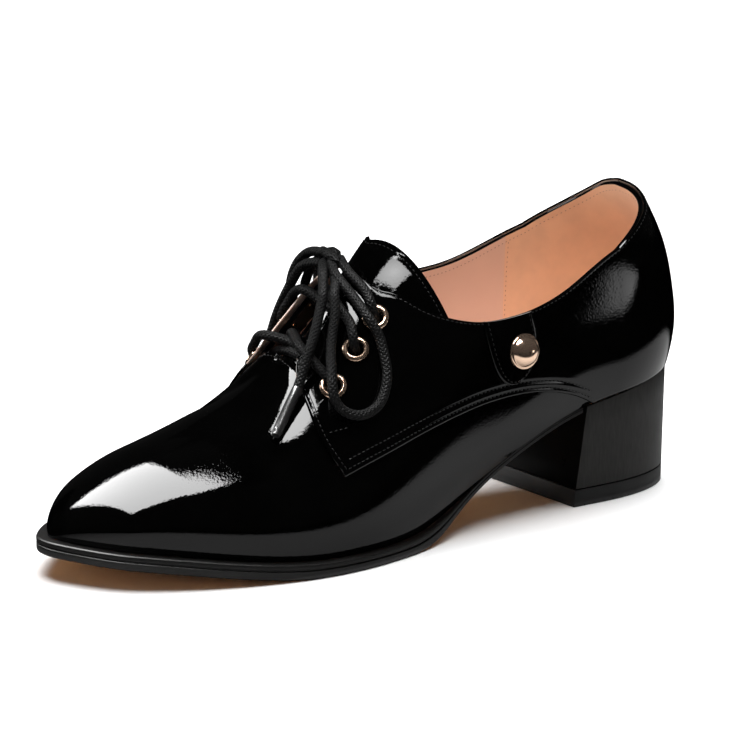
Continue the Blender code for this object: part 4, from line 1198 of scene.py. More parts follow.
def add_quarter(grid, label):
    """A lapped quarter with rolled edges, lined on its inner face."""
    piece = lay_grid(f"quarter_skin_{label}", grid.points())
    if grid.side < 0:
        edit(piece, flip)
    paint(piece, "patent", "lining")
    thicken(piece, sizes().quarter_skin - QUARTER_RELIEF, material_offset=1)
    bare_facing(piece, grid.side)
    punch(piece, grid.side)
    smooth(piece, 50.0)
    return piece


def bare_facing(piece, side):
    """Let the lining show on the cut edge of the facing."""
    back_x = float(last_points(side, THROAT_END_WALK, FACING_EDGE_RISE)[0])
    for face in piece.data.polygons:
        turned_in = face.normal.y * side < CUT_EDGE_TURN and face.normal.z > CUT_EDGE_TILT
        if turned_in and face.center.x > back_x:
            face.material_index = 1


# Tongue and tab
def tongue_track(u, v):
    """Places of the tongue's outer face as walk, rise, lift and side: u to the top edge, v across."""
    across = 2.0 * v - 1.0
    edge = TONGUE_EDGE_RISE[0] + (TONGUE_EDGE_RISE[1] - TONGUE_EDGE_RISE[0]) * u
    rise = 1.0 - np.abs(across) * (1.0 - edge)
    end = TONGUE_END_WALK + TONGUE_END_SWEEP * (1.0 - rise) ** TONGUE_END_CURVE
    walk = TONGUE_START_WALK + (end - TONGUE_START_WALK) * u
    room = sizes().lace_diameter + TONGUE_LACE_ROOM
    start, reach = TONGUE_SETTLE
    flared = ease((u - TONGUE_FLARE_START) / (1.0 - TONGUE_FLARE_START))
    flare = (TONGUE_FLARE + TONGUE_SPREAD * across ** 2) * flared
    lift = -(sizes().upper_wall + TONGUE_GAP) - room * ease((u - start) / reach) + flare
    return walk, rise, lift, across


def tongue_points(u, v, extra=0.0):
    """Points of the tongue's face."""
    walk, rise, lift, across = tongue_track(u, v)
    outer = last_points(1, walk, rise, lift + extra)
    inner = last_points(-1, walk, rise, lift + extra)
    return np.where((across >= 0.0)[..., None], outer, inner)


def add_tongue():
    """The tongue with a rolled, stitched rim and a lined back."""
    columns, rows = 90, 81
    u, v = np.meshgrid(np.linspace(0.0, 1.0, columns), np.linspace(0.0, 1.0, rows), indexing="ij")
    face = tongue_points(u, v)
    from_end = run_lengths(face, 0)
    from_end = from_end[-1:] - from_end
    from_side = run_lengths(face, 1)
    from_side = np.minimum(from_side, from_side[:, -1:] - from_side)
    edge = np.minimum(from_end, from_side)
    lift = -edge_roll(edge, *TONGUE_ROLL) - groove(edge, TONGUE_ROW_INSET, *TONGUE_GROOVE)
    piece = lay_grid("tongue_flap", tongue_points(u, v, lift))
    edit(piece, flip)
    paint(piece, "patent", "lining")
    thicken(piece, sizes().tongue_wall - TONGUE_RELIEF, material_offset=1, material_offset_rim=0)
    smooth(piece, 50.0)
    return piece


def tab_track(u, v, inset=0.0):
    """Walk and rise on the side tab: u across, v from the collar down to the round end."""
    half = (TAB_HALF_WALK - inset) * np.sqrt(np.maximum(0.0, 1.0 - v ** TAB_ROUND))
    walk = TAB_TOP_WALK + (TAB_BOTTOM_WALK - TAB_TOP_WALK) * v + (2.0 * u - 1.0) * half
    top = top_edge(1, walk)
    return walk, top + (TAB_BOTTOM_RISE + inset - top) * v


def add_side_tab():
    """The U-shaped tab with a rolled edge."""
    columns, rows = 41, 49
    fine = np.sin(np.linspace(0.0, math.pi / 2, rows))
    u, v = np.meshgrid(close_at_ends(columns), fine, indexing="ij")
    walk, rise = tab_track(u, v)
    base = quarter_face() + SLIVER
    face = last_points(1, walk, rise, base)
    from_side = run_lengths(face, 0)
    from_side = np.minimum(from_side, from_side[-1:] - from_side)
    below = run_lengths(face, 1)
    edge = np.minimum(from_side, below[:, -1:] - below)
    lift = base + sizes().tab_skin - edge_roll(edge, *TAB_ROLL)
    piece = lay_grid("tab_skin", last_points(1, walk, rise, lift))
    edit(piece, merge, face_out)
    if piece.data.polygons[len(piece.data.polygons) // 2].normal.y < 0:
        edit(piece, flip)
    paint(piece, "patent", "cut_edge")
    thicken(piece, sizes().tab_skin - TAB_RELIEF, material_offset_rim=1)
    smooth(piece, 50.0)
    return piece


# Sole, heel and sock
def feather_outline(side, walk, grow):
    """The feather line in plan, moved outwards by grow."""
    step = 1e-3
    walk = np.asarray(walk, float)
    place = last_points(side, walk, -1.0)
    before = last_points(side, np.clip(walk - step, 0.0, 1.0), -1.0)
    after = last_points(side, np.clip(walk + step, 0.0, 1.0), -1.0)
    along = (after - before)[..., :2]
    along = along / np.maximum(np.linalg.norm(along, axis=-1, keepdims=True), LEAST_LENGTH)
    outward = side * np.stack([along[..., 1], -along[..., 0]], axis=-1)
    return place[..., :2] + outward * np.asarray(grow)[..., None]


def across_last(walk, v, grow):
    """Plan places between the grown outlines, v from the outer side to the inner."""
    outer = feather_outline(1, walk, grow)
    inner = feather_outline(-1, walk, grow)
    return outer + (inner - outer) * v[..., None]


def sole_level(u, v, share, out):
    """Points of one level of the outsole, a share of the way down its edge."""
    walk = u * walk_at(BREAST_X + BREAST_CLEARANCE)
    x, _ = station(walk)
    top = feather_height(x) - LAYER_GAP
    thickness = np.interp(walk, SOLE_THICKNESS["walk"], SOLE_THICKNESS["thickness"])
    bottom = np.maximum(0.0, top - thickness)
    grow = natural_curve(SOLE_GROW["walk"], SOLE_GROW["grow"], walk) + out
    plan = across_last(walk, v, grow)
    return np.concatenate([plan, (top + (bottom - top) * share)[..., None]], axis=-1)


def extrude_to(piece, chosen, points, level):
    """Extrude the chosen faces to points of a level, and return the numbers of the moved faces."""
    select_only(piece)
    bpy.ops.object.mode_set(mode="EDIT")
    bpy.ops.mesh.select_all(action="DESELECT")
    bpy.ops.object.mode_set(mode="OBJECT")
    for number in chosen:
        piece.data.polygons[number].select = True
    bpy.ops.object.mode_set(mode="EDIT")
    bpy.ops.mesh.select_mode(type="FACE")
    bpy.ops.mesh.extrude_region_move()
    bpy.ops.object.mode_set(mode="OBJECT")
    moved = [face.index for face in piece.data.polygons if face.select]
    flat = coordinates(piece)
    marks = piece.data.attributes["place"].data
    levels = piece.data.attributes["level"].data
    for number in {corner for face in moved for corner in piece.data.polygons[face].vertices}:
        flat[number] = points[marks[number].value]
        levels[number].value = level
    move_points(piece, flat)
    return moved


def mark_places(piece, numbers):
    """Let each corner remember its place in the arrays of points, and its level."""
    piece.data.attributes.new("level", "INT", "POINT")
    marks = piece.data.attributes.new("place", "INT", "POINT")
    marks.data.foreach_set("value", np.asarray(numbers, np.int32))


def add_sole():
    """The outsole with its stepped edge, black above and tan underneath."""
    columns, rows = 130, 15
    along = np.linspace(0.0, 1.0, columns) ** SOLE_TIP_BUNCH
    u, v = np.meshgrid(along, close_at_ends(rows), indexing="ij")
    levels = [sole_level(u, v, row["share"], row["out_mm"] / 1000) for row in SOLE_PROFILE]
    piece, i, j = new_grid("sole_unit", columns, rows)
    move_points(piece, levels[0][i, j])
    mark_places(piece, i * rows + j)
    chosen = range(len(piece.data.polygons))
    for number, level in enumerate(levels[1:], start=1):
        chosen = extrude_to(piece, chosen, level.reshape(-1, 3), number)
    paint(piece, "sole_edge", "sole_bottom")
    reached = piece.data.attributes["level"].data
    for face in piece.data.polygons:
        lowest = min(reached[corner].value for corner in face.vertices)
        face.material_index = 1 if lowest >= len(levels) - 2 else 0
    edit(piece, merge, face_out)
    smooth(piece, 32.0)
    return piece


def add_sock():
    """The sock on the inside of the sole and the heel seat."""
    columns, rows = 110, 21
    u, v = np.meshgrid(np.linspace(0.0, 1.0, columns), close_at_ends(rows), indexing="ij")
    walk = SOCK_TIP_WALK + (1.0 - SOCK_TIP_WALK) * u
    plan = across_last(walk, v, np.full(u.shape, -SOCK_INSET))
    base = feather_height(plan[..., 0] + ORIGIN[0]) + LAYER_GAP
    crown = 1.0 - SOCK_RIM_DROP * np.abs(2.0 * v - 1.0) ** SOCK_RIM_POWER
    top = np.concatenate([plan, (base + sizes().sock_thickness * crown)[..., None]], axis=-1)
    piece = lay_grid("sock_lining", top)
    edit(piece, merge)
    if piece.data.polygons[len(piece.data.polygons) // 2].normal.z < 0:
        edit(piece, flip)
    paint(piece, "sock")
    apply_change(piece, "SOLIDIFY", thickness=SOCK_WALL, offset=-1.0)
    smooth(piece, 40.0)
    return piece


def heel_plan(level):
    """Plan of the heel from breast to back and round to breast: level 0 at the seat, 1 at the floor."""
    start = walk_at(BREAST_X)
    shares = np.linspace(0.0, 1.0, HEEL_CORNERS // 2 + 1)
    walk = start + (1.0 - start) * shares ** HEEL_BUNCH
    narrowing = 1.0 - (1.0 - HEEL_TAPER) * level
    halves = []
    for side, order in ((1, slice(None)), (-1, slice(-2, None, -1))):
        plan = feather_outline(side, walk, np.full(walk.shape, HEEL_GROW))[order]
        x = plan[:, 0] + ORIGIN[0]
        forward = (x - REARMOST) / (BREAST_X - REARMOST) * HEEL_LEAN[side] * level
        y = (plan[:, 1] + ORIGIN[1]) * narrowing - ORIGIN[1]
        halves.append(np.column_stack([plan[:, 0] + forward, y]))
    return np.vstack(halves)


def seat_height(x):
    """The heel seat as a plane under the feather line."""
    back, breast = feather_height(0.0), feather_height(BREAST_X)
    return back + (breast - back) * x / BREAST_X - LAYER_GAP


def heel_ring(level, share, low):
    """One ring of the heel, a share of the way from the seat down to a low height."""
    plan = heel_plan(level)
    height = seat_height(plan[:, 0] + ORIGIN[0]) * (1.0 - share) + low * share
    return np.column_stack([plan, height])


def loft_heel(name, rings, *finishes):
    """A closed layer of the heel through its rings, with rounded edges; its breast has the last finish, which
    on the block is darker as painted shade.
    """
    deselect_all()
    bpy.ops.mesh.primitive_circle_add(vertices=len(rings[0]), radius=BREAST_X, fill_type="NGON")
    piece = named(name)
    move_points(piece, rings[0])
    mark_places(piece, range(len(rings[0])))
    chosen = range(len(piece.data.polygons))
    for number, ring in enumerate(rings[1:], start=1):
        chosen = extrude_to(piece, chosen, ring, number)
    edit(piece, merge, face_out)
    sharp = math.radians(40.0)
    apply_change(piece, "BEVEL", width=HEEL_BEVEL, segments=2, limit_method="ANGLE", angle_limit=sharp)
    paint(piece, *finishes)
    for face in piece.data.polygons:
        face.material_index = len(finishes) - 1 if face.normal.x > BREAST_TURN else 0
    smooth(piece, 35.0)
    return piece


def add_heel():
    """The covered block heel and the rubber top piece under it."""
    split = 1.0 - TOP_PIECE / sizes().heel_height
    low = TOP_PIECE + TOP_PIECE_GAP
    block_rings = [heel_ring(split * share, share, low) for share in np.linspace(0.0, 1.0, 5)]
    # The breast's darker finish is painted shade under the arch
    block = loft_heel("heel_cover", block_rings, "heel_cover", "heel_breast_shade")
    levels = ((split, TOP_PIECE), ((split + 1.0) / 2, TOP_PIECE / 2), (1.0, 0.0))
    lift_rings = [heel_ring(level, 1.0, height) for level, height in levels]
    return block, loft_heel("heel_lift", lift_rings, "heel_lift")


# Metal
def turn_piece(name, profile, corners):
    """A turned gold piece from a closed profile of radius and height."""
    radius, height = profile[:, :1], profile[:, 1:]
    angle = np.linspace(0.0, 2.0 * math.pi, corners + 1)
    rings = np.broadcast_arrays(radius * np.cos(angle), radius * np.sin(angle), height)
    piece = lay_grid(name, np.stack(rings, axis=-1))
    edit(piece, merge, face_out)
    paint(piece, "gold")
    smooth(piece, 60.0)
    return piece


def add_eyelets():
    """Rolled eyelets, each a copy of one through its facing."""
    pattern = turn_piece("eyelet_pattern", np.vstack([EYELET_PROFILE, EYELET_PROFILE[:1]]), EYELET_CORNERS)
    for label, side in SIDES.items():
        for number, row in enumerate(EYELETS, start=1):
            place = stand_matrix(side, row["walk"], row["rise"], quarter_face() + LAYER_GAP)
            piece = place_copy(pattern, f"eyelet_ring_{label}_{number}", place)
            seat(piece, "gold_metal", f"eyelet_{label}_{number}")
    remove(pattern)


def add_stud():
    """The dome stud with its rim."""
    piece = turn_piece("stud_dome", np.vstack([STUD_PROFILE, [(0.0, 0.0)]]), STUD_CORNERS)
    piece.data.transform(stand_matrix(1, STUD_WALK, STUD_RISE, tab_face()))
    return piece


# Lace
def tube_rings(path, radii):
    """Rings of points round a path, turned as little as can be from one to the next."""
    along = np.gradient(path, axis=0)
    along /= np.linalg.norm(along, axis=1, keepdims=True)
    across = np.cross(along[0], (0.0, 0.0, 1.0) if abs(along[0, 2]) < 0.9 else (1.0, 0.0, 0.0))
    angle = np.linspace(0.0, 2.0 * math.pi, TUBE_SIDES + 1)
    rings = []
    for place, way, radius in zip(path, along, radii):
        across = across - way * (across @ way)
        across /= np.linalg.norm(across)
        other = np.cross(way, across)
        rings.append(place + radius * (np.outer(np.cos(angle), across) + np.outer(np.sin(angle), other)))
    return np.array(rings)


def add_tube(name, path, radii, finish_name):
    """A closed round tube along a path, with its length and girth in millimetres as UV."""
    radii = np.broadcast_to(np.asarray(radii, float), (len(path),))
    ends = [np.repeat(path[k][None, None, :], TUBE_SIDES + 1, axis=1) for k in (0, -1)]
    rings = np.concatenate([ends[0], tube_rings(path, radii), ends[1]])
    piece, i, j = new_grid(name, len(rings), TUBE_SIDES + 1)
    run = run_lengths(path, 0) * 1000
    run = np.concatenate([run[:1], run, run[-1:]])
    girth = math.pi * 2000 * float(np.mean(radii))
    corners = np.empty(len(piece.data.loops), int)
    piece.data.loops.foreach_get("vertex_index", corners)
    uv = np.column_stack([run[i], j / TUBE_SIDES * girth])[corners]
    piece.data.uv_layers.active.data.foreach_set("uv", uv.ravel())
    move_points(piece, rings[i, j])
    edit(piece, merge, face_out)
    paint(piece, finish_name)
    smooth(piece, 60.0)
    return piece


def route(rows):
    """Points of a route given by side, walk, rise and lift."""
    return [last_points(*row) for row in rows]


def sided(side, rows):
    """Rows of walk, rise and lift as points on one side."""
    return [last_points(side, *row) for row in rows]


def knot_frame():
    """Middle of the knot, and the directions to the outer side, to the toe and away from the foot."""
    middle = Vector(last_points(1, *KNOT_PLACE))
    up = Vector(last_normals(1, KNOT_PLACE[0], 1.0))
    outer = Vector((0.0, 1.0, 0.0))
    toe = outer.cross(up).normalized()
    return middle, outer, toe, up


def knot_point(shares, reach=KNOT_REACH):
    """Point in or on the knot, in the direction given by the shares."""
    middle, *axes = knot_frame()
    direction = Vector(shares).normalized()
    radius = 1.0 / math.sqrt(sum((part / half) ** 2 for part, half in zip(direction, KNOT_HALF_SIZES)))
    return middle + sum((axis * part for axis, part in zip(axes, direction)), Vector()) * radius * reach


def add_lace_half(label, rows, shares, solids):
    """Half of the lace from the middle of its lowest bar, through three eyelets, up to the knot."""
    points = route(rows) + sided(rows[0][0], TIE_ROWS) + [knot_point(shares, TIE_REACH)]
    path = smooth_path(points, LACE_SPACING)
    piece = add_tube(f"lace_half_{label}", path, sizes().lace_diameter / 2, "lace")
    seat(piece, "lace_cord", *solids)


def add_knot():
    """The knot: a short core with a strand laid over it from side to side."""
    middle, outer, toe, up = knot_frame()
    arc = []
    for angle in np.radians(np.linspace(*KNOT_BAND_ANGLES, 40)):
        place = middle + outer * (KNOT_BAND_WIDE * math.cos(angle)) + up * (KNOT_BAND_HIGH * math.sin(angle))
        arc.append(list(place + toe * (KNOT_BAND_SKEW * math.cos(angle) - KNOT_SETBACK)))
    band = add_tube("knot_band", np.array(arc), sizes().lace_diameter / 2, "lace")
    shares = np.linspace(-1.0, 1.0, 11)
    line = [list(middle + toe * (KNOT_CORE_HALF * share) - up * KNOT_SETBACK) for share in shares]
    radii = KNOT_CORE_RADIUS * np.sqrt(1.0 - KNOT_CORE_TAPER * shares ** 2)
    core = add_tube("knot_core", np.array(line), radii, "lace")
    return join("bow_knot", [band, core])


def add_free_cord(name, node, points):
    """A loop or an end of the bow, as a round tube seated in place of its solid."""
    path = smooth_path(points, BOW_SPACING)
    piece = add_tube(name, path, sizes().lace_diameter / 2, "lace")
    seat(piece, "lace_cord", node)
    return piece


def add_aglet(label, side, rows):
    """The film-wrapped tip of a lace end."""
    path = smooth_path(sided(side, rows), AGLET_SPACING)
    share = np.linspace(0.0, 1.0, len(path))
    scale = np.where(share > AGLET_TIP[0], AGLET_TIP[1], np.where(share < AGLET_ROOT[0], AGLET_ROOT[1], 1.0))
    piece = add_tube(f"aglet_tip_{label}", path, sizes().aglet_diameter / 2 * scale, "aglet")
    return seat(piece, "aglet_film", f"aglet_{label}")


def add_bow():
    """Knot, two loops and two ends with their tips."""
    seat(add_knot(), "lace_cord", "lace_knot")
    # The last columns say which way a strand leaves the knot or comes back: outwards, to the toe and up
    loops = (
        ("outer", 1, LOOP_OUTER, (0.88, 0.40, 0.26), (0.60, 0.78, -0.12)),
        ("inner", -1, LOOP_INNER, (-0.72, -0.10, 0.62), (-0.72, 0.69, 0.05)))
    for label, side, rows, leave, arrive in loops:
        points = [knot_point(leave)] + sided(side, rows) + [knot_point(arrive)]
        add_free_cord(f"bow_loop_{label}", f"lace_loop_{label}", points)
    ends = (
        ("outer", 1, END_OUTER, AGLET_OUTER, (0.10, 0.88, 0.46)),
        ("inner", -1, END_INNER, AGLET_INNER, (-0.55, -0.82, -0.16)))
    for label, side, rows, tip, leave in ends:
        aglet = add_aglet(label, side, tip)
        points = [knot_point(leave)] + sided(side, [*rows, tip[0]])
        add_free_cord(f"bow_end_{label}", f"lace_end_{label}", points)


# Stitching
def add_stitch():
    """One stitch with its ends bent down, lying along X with Z up."""
    deselect_all()
    bpy.ops.mesh.primitive_uv_sphere_add(segments=6, ring_count=5, radius=1.0, calc_uvs=False)
    piece = named("stitch_pattern")
    edit(piece, face_out)
    ball = coordinates(piece)[:, [2, 0, 1]]
    thick = sizes().thread / 2
    bent = ball * (sizes().stitch_length / 2, thick, thick)
    bent[:, 2] -= thick * STITCH_BEND * ball[:, 0] ** 2
    move_points(piece, bent)
    return piece


def read_rows(rows, run, at):
    """Rows of points or directions, read at lengths along their run."""
    return np.column_stack([np.interp(at, run, rows[:, axis]) for axis in range(3)])


def stitch_places(path, normals):
    """Matrices of the stitches along a path, with X along the path and Z along its normals."""
    run = run_lengths(path, 0)
    half = sizes().stitch_length / 2
    count = max(1, int(run[-1] / sizes().stitch_pitch))
    at = (np.arange(count) + 0.5) * run[-1] / count
    along = read_rows(path, run, at + half) - read_rows(path, run, at - half)
    along /= np.maximum(np.linalg.norm(along, axis=1, keepdims=True), TINY)
    up = read_rows(normals, run, at)
    up -= along * np.sum(up * along, axis=1, keepdims=True)
    up /= np.maximum(np.linalg.norm(up, axis=1, keepdims=True), TINY)
    turns = np.stack([along, np.cross(up, along), up], axis=2)
    middles = [Matrix.Translation(Vector(middle)) for middle in read_rows(path, run, at)]
    return [middle @ Matrix(turn).to_4x4() for middle, turn in zip(middles, turns)]


def sew(name, rows, finish_name, slot):
    """Sew rows of points and normals with copies of one stitch, joined into one piece."""
    pattern = add_stitch()
    paint(pattern, finish_name)
    places = [place for path, normals in rows for place in stitch_places(path, normals)]
    piece = join_copies(name, pattern, places)
    smooth(piece, 80.0)
    return seat(piece, slot)


def quarter_rows(grid):
    """Stitch rows of a quarter: two along its seam, one along its front and one below its top edge."""
    points, normals = grid.points(sizes().thread * STITCH_LIFT), grid.normals()
    sewn = grid.walk[:, 0] < SEAM_END_WALK
    rows = []
    for row in (FIRST_ROW, SECOND_ROW):
        keep = sewn & (grid.from_front[:, row] > EDGE_STEPS[row] * 0.9)
        rows.append((points[keep, row], normals[keep, row]))
    keep = slice(FIRST_ROW, -COLLAR_ROW)
    rows.append((points[FIRST_ROW, keep], normals[FIRST_ROW, keep]))
    rows.append((points[FIRST_ROW:, -1 - COLLAR_ROW], normals[FIRST_ROW:, -1 - COLLAR_ROW]))
    return rows


def line_rows(side, walks, rises, lift):
    """A stitch row through walks and rises at a height over the last."""
    walks, rises = np.broadcast_arrays(np.asarray(walks, float), np.asarray(rises, float))
    return last_points(side, walks, rises, lift), last_normals(side, walks, rises)


def bar_tack_row(side):
    """The short bar of stitches behind the facing's front corner."""
    walks = np.linspace(*BAR_TACK_WALKS, 12)
    rises = np.linspace(*BAR_TACK_RISES, 12)
    return line_rows(side, walks, rises, quarter_face())


def vamp_row():
    """The row that holds the tongue under the vamp's edge, over the ridge from side to side."""
    rises = np.linspace(VAMP_ROW_RISE, 1.0, 20)
    outer = line_rows(1, VAMP_ROW_WALK, rises, SLIVER)
    inner = line_rows(-1, VAMP_ROW_WALK, rises[-2::-1], SLIVER)
    return np.vstack([outer[0], inner[0]]), np.vstack([outer[1], inner[1]])


def tongue_row():
    """The row round the tongue's free rim."""
    low, high = TONGUE_ROW_ALONG
    near, far = TONGUE_ROW_ACROSS
    up = np.linspace(low, high, 60)
    over = np.linspace(far, near, 80)
    u = np.concatenate([up, np.full(over.shape, high), up[::-1]])
    v = np.concatenate([np.full(up.shape, far), over, np.full(up.shape, near)])
    walk, rise, _, across = tongue_track(u, v)
    outside = (across >= 0.0)[:, None]
    normals = np.where(outside, last_normals(1, walk, rise), last_normals(-1, walk, rise))
    return tongue_points(u, v, -SLIVER), normals


def tab_row():
    """The row round the tab's edge."""
    v = np.sin(np.linspace(0.0, math.pi / 2, 50))
    u = np.concatenate([np.zeros(v.shape), np.ones(v.shape)])
    walk, rise = tab_track(u, np.concatenate([v, v[::-1]]), TAB_ROW_INSET)
    return line_rows(1, walk, rise, tab_face())


def lining_rows():
    """Rows inside the shoe: below the top edge, and down the heel grip's seams."""
    rows = []
    lift = -(sizes().upper_wall - SLIVER)
    for side in SIDES.values():
        walks = np.linspace(*LINING_ROW_WALKS, 240)
        path, normals = line_rows(side, walks, top_edge(side, walks, LINING_ROW_INSET), lift)
        rows.append((path, -normals))
        top = float(top_edge(side, np.array([HEEL_GRIP_WALKS[1]]), LINING_ROW_INSET)[0])
        rises = np.linspace(HEEL_GRIP_RISES[0], top, 60)
        path, normals = line_rows(side, np.interp(rises, HEEL_GRIP_RISES, HEEL_GRIP_WALKS), rises, lift)
        rows.append((path, -normals))
    return rows


# Studio
def add_floor():
    """The pale floor."""
    deselect_all()
    bpy.ops.mesh.primitive_plane_add(size=FLOOR_SIZE)
    floor = named("studio_floor")
    paint(floor, "floor")


def gloss_only(panel):
    """Let a studio object show in the gloss alone."""
    panel.visible_camera = False
    panel.visible_diffuse = False
    panel.visible_shadow = False
    panel.visible_transmission = False


def bare_material(name):
    """A material without any nodes yet."""
    made = bpy.data.materials.new(name)
    made.use_nodes = True
    made.node_tree.nodes.clear()
    return made


def glow(name, brightness, rim):
    """Light of a softbox: full in its middle, less at its rim."""
    made = bare_material(name)
    middle = add_node(made, "ShaderNodeVectorMath", [(0, place_of(made, "UV"))], operation="DISTANCE")
    middle.inputs[1].default_value = (0.5, 0.5, 0.0)
    links = [("Value", middle.outputs["Value"])]
    fall = add_node(made, "ShaderNodeMapRange", links, **{
        "From Max": GLOW_REACH, "To Min": brightness, "To Max": brightness * rim})
    lamp = add_node(made, "ShaderNodeEmission", [("Strength", fall.outputs["Result"])])
    add_node(made, "ShaderNodeOutputMaterial", [("Surface", lamp.outputs["Emission"])])
    return made


def add_panel(name, corners, brightness, rim):
    """A softbox that the gloss mirrors, laid at its four corners."""
    deselect_all()
    bpy.ops.mesh.primitive_plane_add(size=1.0)
    panel = named(name)
    move_points(panel, np.array(corners))
    panel.data.materials.append(glow(name, brightness, rim))
    gloss_only(panel)


def add_flag(name, corners):
    """A black card that keeps a softbox out of a part of the gloss."""
    deselect_all()
    bpy.ops.mesh.primitive_circle_add(vertices=len(corners), fill_type="NGON")
    flag = named(name)
    move_points(flag, np.array(corners))
    flag.data.materials.append(new_material(name, (0.0, 0.0, 0.0), 1.0, Specular_IOR_Level=0.0)[0])
    gloss_only(flag)


def add_surroundings(brightness):
    """The dim studio round the shoe, as the gloss sees it."""
    deselect_all()
    bpy.ops.mesh.primitive_uv_sphere_add(segments=32, ring_count=16, radius=ROOM_RADIUS)
    room = named("studio_room")
    room.data.materials.append(glow("studio_room", brightness, 1.0))
    gloss_only(room)


def add_dark_card():
    """A dark card on the floor round the shoe, so that the gloss mirrors only the near floor."""
    deselect_all()
    bpy.ops.mesh.primitive_plane_add(size=CARD_SIZE, location=(0.0, 0.0, CARD_HEIGHT))
    card = named("dark_card")
    made = bare_material("Dark card")
    moved = add_node(made, "ShaderNodeVectorMath", [(0, place_of(made))], operation="SUBTRACT")
    moved.inputs[1].default_value = CARD_OVAL_MIDDLE
    scaled = add_node(made, "ShaderNodeVectorMath", [(0, moved.outputs["Vector"])], operation="MULTIPLY")
    scaled.inputs[1].default_value = (1.0 / CARD_OVAL_HALVES[0], 1.0 / CARD_OVAL_HALVES[1], 0.0)
    away = add_node(made, "ShaderNodeVectorMath", [(0, scaled.outputs["Vector"])], operation="LENGTH")
    cover = add_node(made, "ShaderNodeMapRange", [("Value", away.outputs["Value"])], **{
        "From Min": CARD_OVAL_RIM[0], "From Max": CARD_OVAL_RIM[1], "To Min": CARD_LEAST_COVER,
        "interpolation_type": "SMOOTHSTEP"})
    clear = add_node(made, "ShaderNodeBsdfTransparent")
    dark = add_node(made, "ShaderNodeBsdfDiffuse", Color=(0.0, 0.0, 0.0, 1.0))
    mixed = add_node(made, "ShaderNodeMixShader", [
        (0, cover.outputs["Result"]), (1, clear.outputs["BSDF"]), (2, dark.outputs["BSDF"])])
    add_node(made, "ShaderNodeOutputMaterial", [("Surface", mixed.outputs["Shader"])])
    card.data.materials.append(made)
    gloss_only(card)


def add_lights(scene):
    """Even light all round, one soft overhead light, and what the gloss mirrors."""
    studio = scene.shoe_studio
    world = scene.world or bpy.data.worlds.new("Studio")
    scene.world = world
    world.use_nodes = True
    back = world.node_tree.nodes["Background"]
    back.inputs["Color"].default_value = (1.0, 1.0, 1.0, 1.0)
    back.inputs["Strength"].default_value = studio.ambient
    world.cycles_visibility.glossy = False
    deselect_all()
    bpy.ops.object.light_add(type="AREA", location=LAMP_PLACE)
    lamp = bpy.context.active_object
    lamp.name = "overhead_fill"
    lamp.data.size = LAMP_SIZE
    lamp.data.energy = studio.fill
    lamp.visible_camera = False
    lamp.visible_glossy = False
    for name, (share, rim, corners) in SOFTBOXES.items():
        add_panel(name, corners, studio.softbox * share, rim)
    for name, corners in FLAGS.items():
        add_flag(name, corners)
    add_surroundings(studio.room)
    add_dark_card()


def add_camera(scene):
    """The camera at the photograph's viewing angle, aimed at the middle of the shoe."""
    studio = scene.shoe_studio
    aim = (CAD_BOX[0] + CAD_BOX[1]) / 2
    aim.z = AIM_HEIGHT
    flat = math.cos(studio.elevation)
    back = Vector((
        math.sin(studio.azimuth) * flat, -math.cos(studio.azimuth) * flat, math.sin(studio.elevation)))
    deselect_all()
    bpy.ops.object.camera_add(location=aim + back * studio.distance)
    camera = bpy.context.active_object
    camera.rotation_euler = (-back).to_track_quat("-Z", "Y").to_euler()
    camera.data.lens = studio.lens
    camera.data.clip_start = 0.05
    camera.data.clip_end = 50.0
    scene.camera = camera
    scene.view_settings.view_transform = "Standard"


# Operators
class SHOE_OT_upper(Operator):
    """Build the lined upper"""
    bl_idname = "shoe.upper"
    bl_label = "Upper"

    def execute(self, context):
        piece = add_upper()
        punch(piece, *SIDES.values())
        seat(piece, "patent_leather", "upper")
        return {"FINISHED"}


class SHOE_OT_quarters(Operator):
    """Build the two lapped quarters and sew them"""
    bl_idname = "shoe.quarters"
    bl_label = "Quarters"

    def execute(self, context):
        for label, side in SIDES.items():
            grid = QuarterGrid(side)
            seat(add_quarter(grid, label), "patent_leather", f"quarter_{label}")
            rows = quarter_rows(grid) + [bar_tack_row(side)]
            sew(f"quarter_stitches_{label}", rows, "thread", "patent_leather")
        return {"FINISHED"}


class SHOE_OT_tongue(Operator):
    """Build the tongue and sew its rim and its seam to the vamp"""
    bl_idname = "shoe.tongue"
    bl_label = "Tongue"

    def execute(self, context):
        seat(add_tongue(), "patent_leather", "tongue")
        sew("tongue_stitches", [tongue_row(), vamp_row()], "thread", "patent_leather")
        return {"FINISHED"}


class SHOE_OT_side_tab(Operator):
    """Build the side tab, its stitching and its stud"""
    bl_idname = "shoe.side_tab"
    bl_label = "Side Tab"

    def execute(self, context):
        seat(add_side_tab(), "patent_leather", "side_tab")
        sew("tab_stitches", [tab_row()], "thread", "patent_leather")
        seat(add_stud(), "gold_metal", "tab_stud")
        return {"FINISHED"}


class SHOE_OT_lining(Operator):
    """Build the sock and sew the lining"""
    bl_idname = "shoe.lining"
    bl_label = "Lining"

    def execute(self, context):
        seat(add_sock(), "sock_leather", "insole")
        sew("lining_stitches", lining_rows(), "lining_thread", "sock_leather")
        return {"FINISHED"}


class SHOE_OT_sole(Operator):
    """Build the outsole and the heel"""
    bl_idname = "shoe.sole"
    bl_label = "Sole and Heel"

    def execute(self, context):
        seat(add_sole(), "sole_edge", "outsole")
        block, lift = add_heel()
        seat(block, "heel_cover", "heel_block")
        seat(lift, "heel_rubber", "heel_top_piece")
        return {"FINISHED"}


class SHOE_OT_eyelets(Operator):
    """Build the rolled eyelets"""
    bl_idname = "shoe.eyelets"
    bl_label = "Eyelets"

    def execute(self, context):
        add_eyelets()
        return {"FINISHED"}


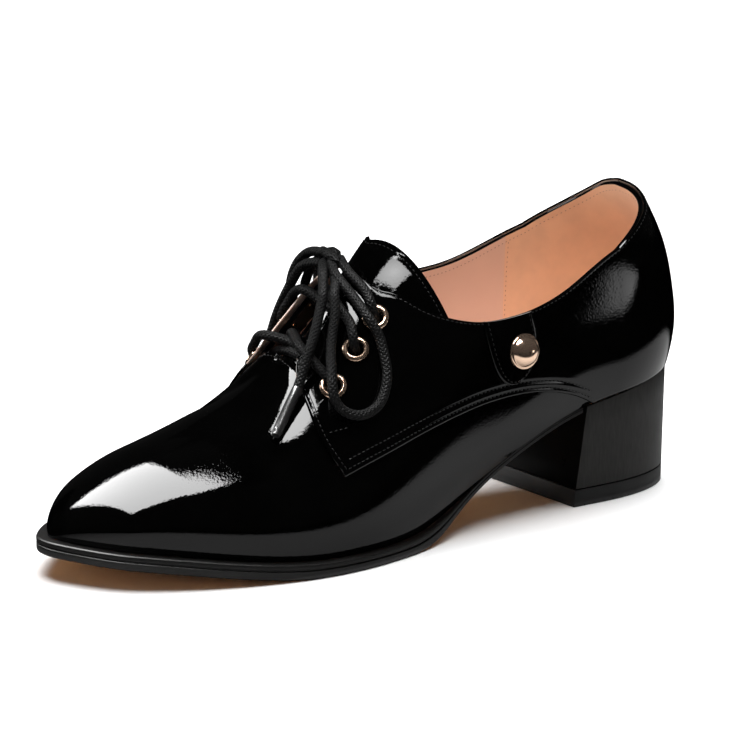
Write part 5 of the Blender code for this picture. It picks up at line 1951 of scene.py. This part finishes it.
class SHOE_OT_lace(Operator):
    """Thread the lace through the eyelets and tie its bow"""
    bl_idname = "shoe.lace"
    bl_label = "Lace"

    def execute(self, context):
        crossings = ("lace_bar", "lace_cross_1", "lace_cross_2")
        add_lace_half("outer", LACING_OUTER, (0.93, -0.30, -0.22), ("lace_tie_outer", *crossings))
        add_lace_half("inner", LACING_INNER, (-0.97, -0.10, -0.22), ("lace_tie_inner",))
        add_bow()
        return {"FINISHED"}


class SHOE_OT_studio(Operator):
    """Set up the floor, the lights and the camera"""
    bl_idname = "shoe.studio"
    bl_label = "Studio"

    def execute(self, context):
        add_floor()
        add_lights(context.scene)
        add_camera(context.scene)
        return {"FINISHED"}


# Panel and steps
class SHOE_PT_panel(Panel):
    """Sizes, colours and steps of the shoe"""
    bl_label = "Lace-up Shoe"
    bl_idname = "SHOE_PT_panel"
    bl_space_type = "VIEW_3D"
    bl_region_type = "UI"
    bl_category = "Shoe"

    def draw(self, context):
        layout = self.layout
        for group in (context.scene.shoe_sizes, context.scene.shoe_colours, context.scene.shoe_studio):
            box = layout.box()
            for name in group.__annotations__:
                box.prop(group, name)
        for step in STEPS:
            layout.operator(step.bl_idname)


GROUPS = {"shoe_sizes": ShoeSizes, "shoe_colours": ShoeColours, "shoe_studio": ShoeStudio}
STEPS = (
    SHOE_OT_studio, SHOE_OT_lace, SHOE_OT_upper, SHOE_OT_quarters, SHOE_OT_tongue, SHOE_OT_side_tab,
    SHOE_OT_lining, SHOE_OT_sole, SHOE_OT_eyelets)
CLASSES = (*GROUPS.values(), *STEPS, SHOE_PT_panel)


def register():
    """Register the classes and put the settings on the scene."""
    for item in CLASSES:
        bpy.utils.register_class(item)
    for name, group in GROUPS.items():
        setattr(bpy.types.Scene, name, PointerProperty(type=group))


def unregister():
    """Take the settings off the scene and unregister the classes."""
    for name in GROUPS:
        delattr(bpy.types.Scene, name)
    for item in reversed(CLASSES):
        bpy.utils.unregister_class(item)


def main():
    """Build everything."""
    register()
    for step in STEPS:
        family, name = step.bl_idname.split(".")
        getattr(getattr(bpy.ops, family), name)()


if __name__ == "__main__":
    main()
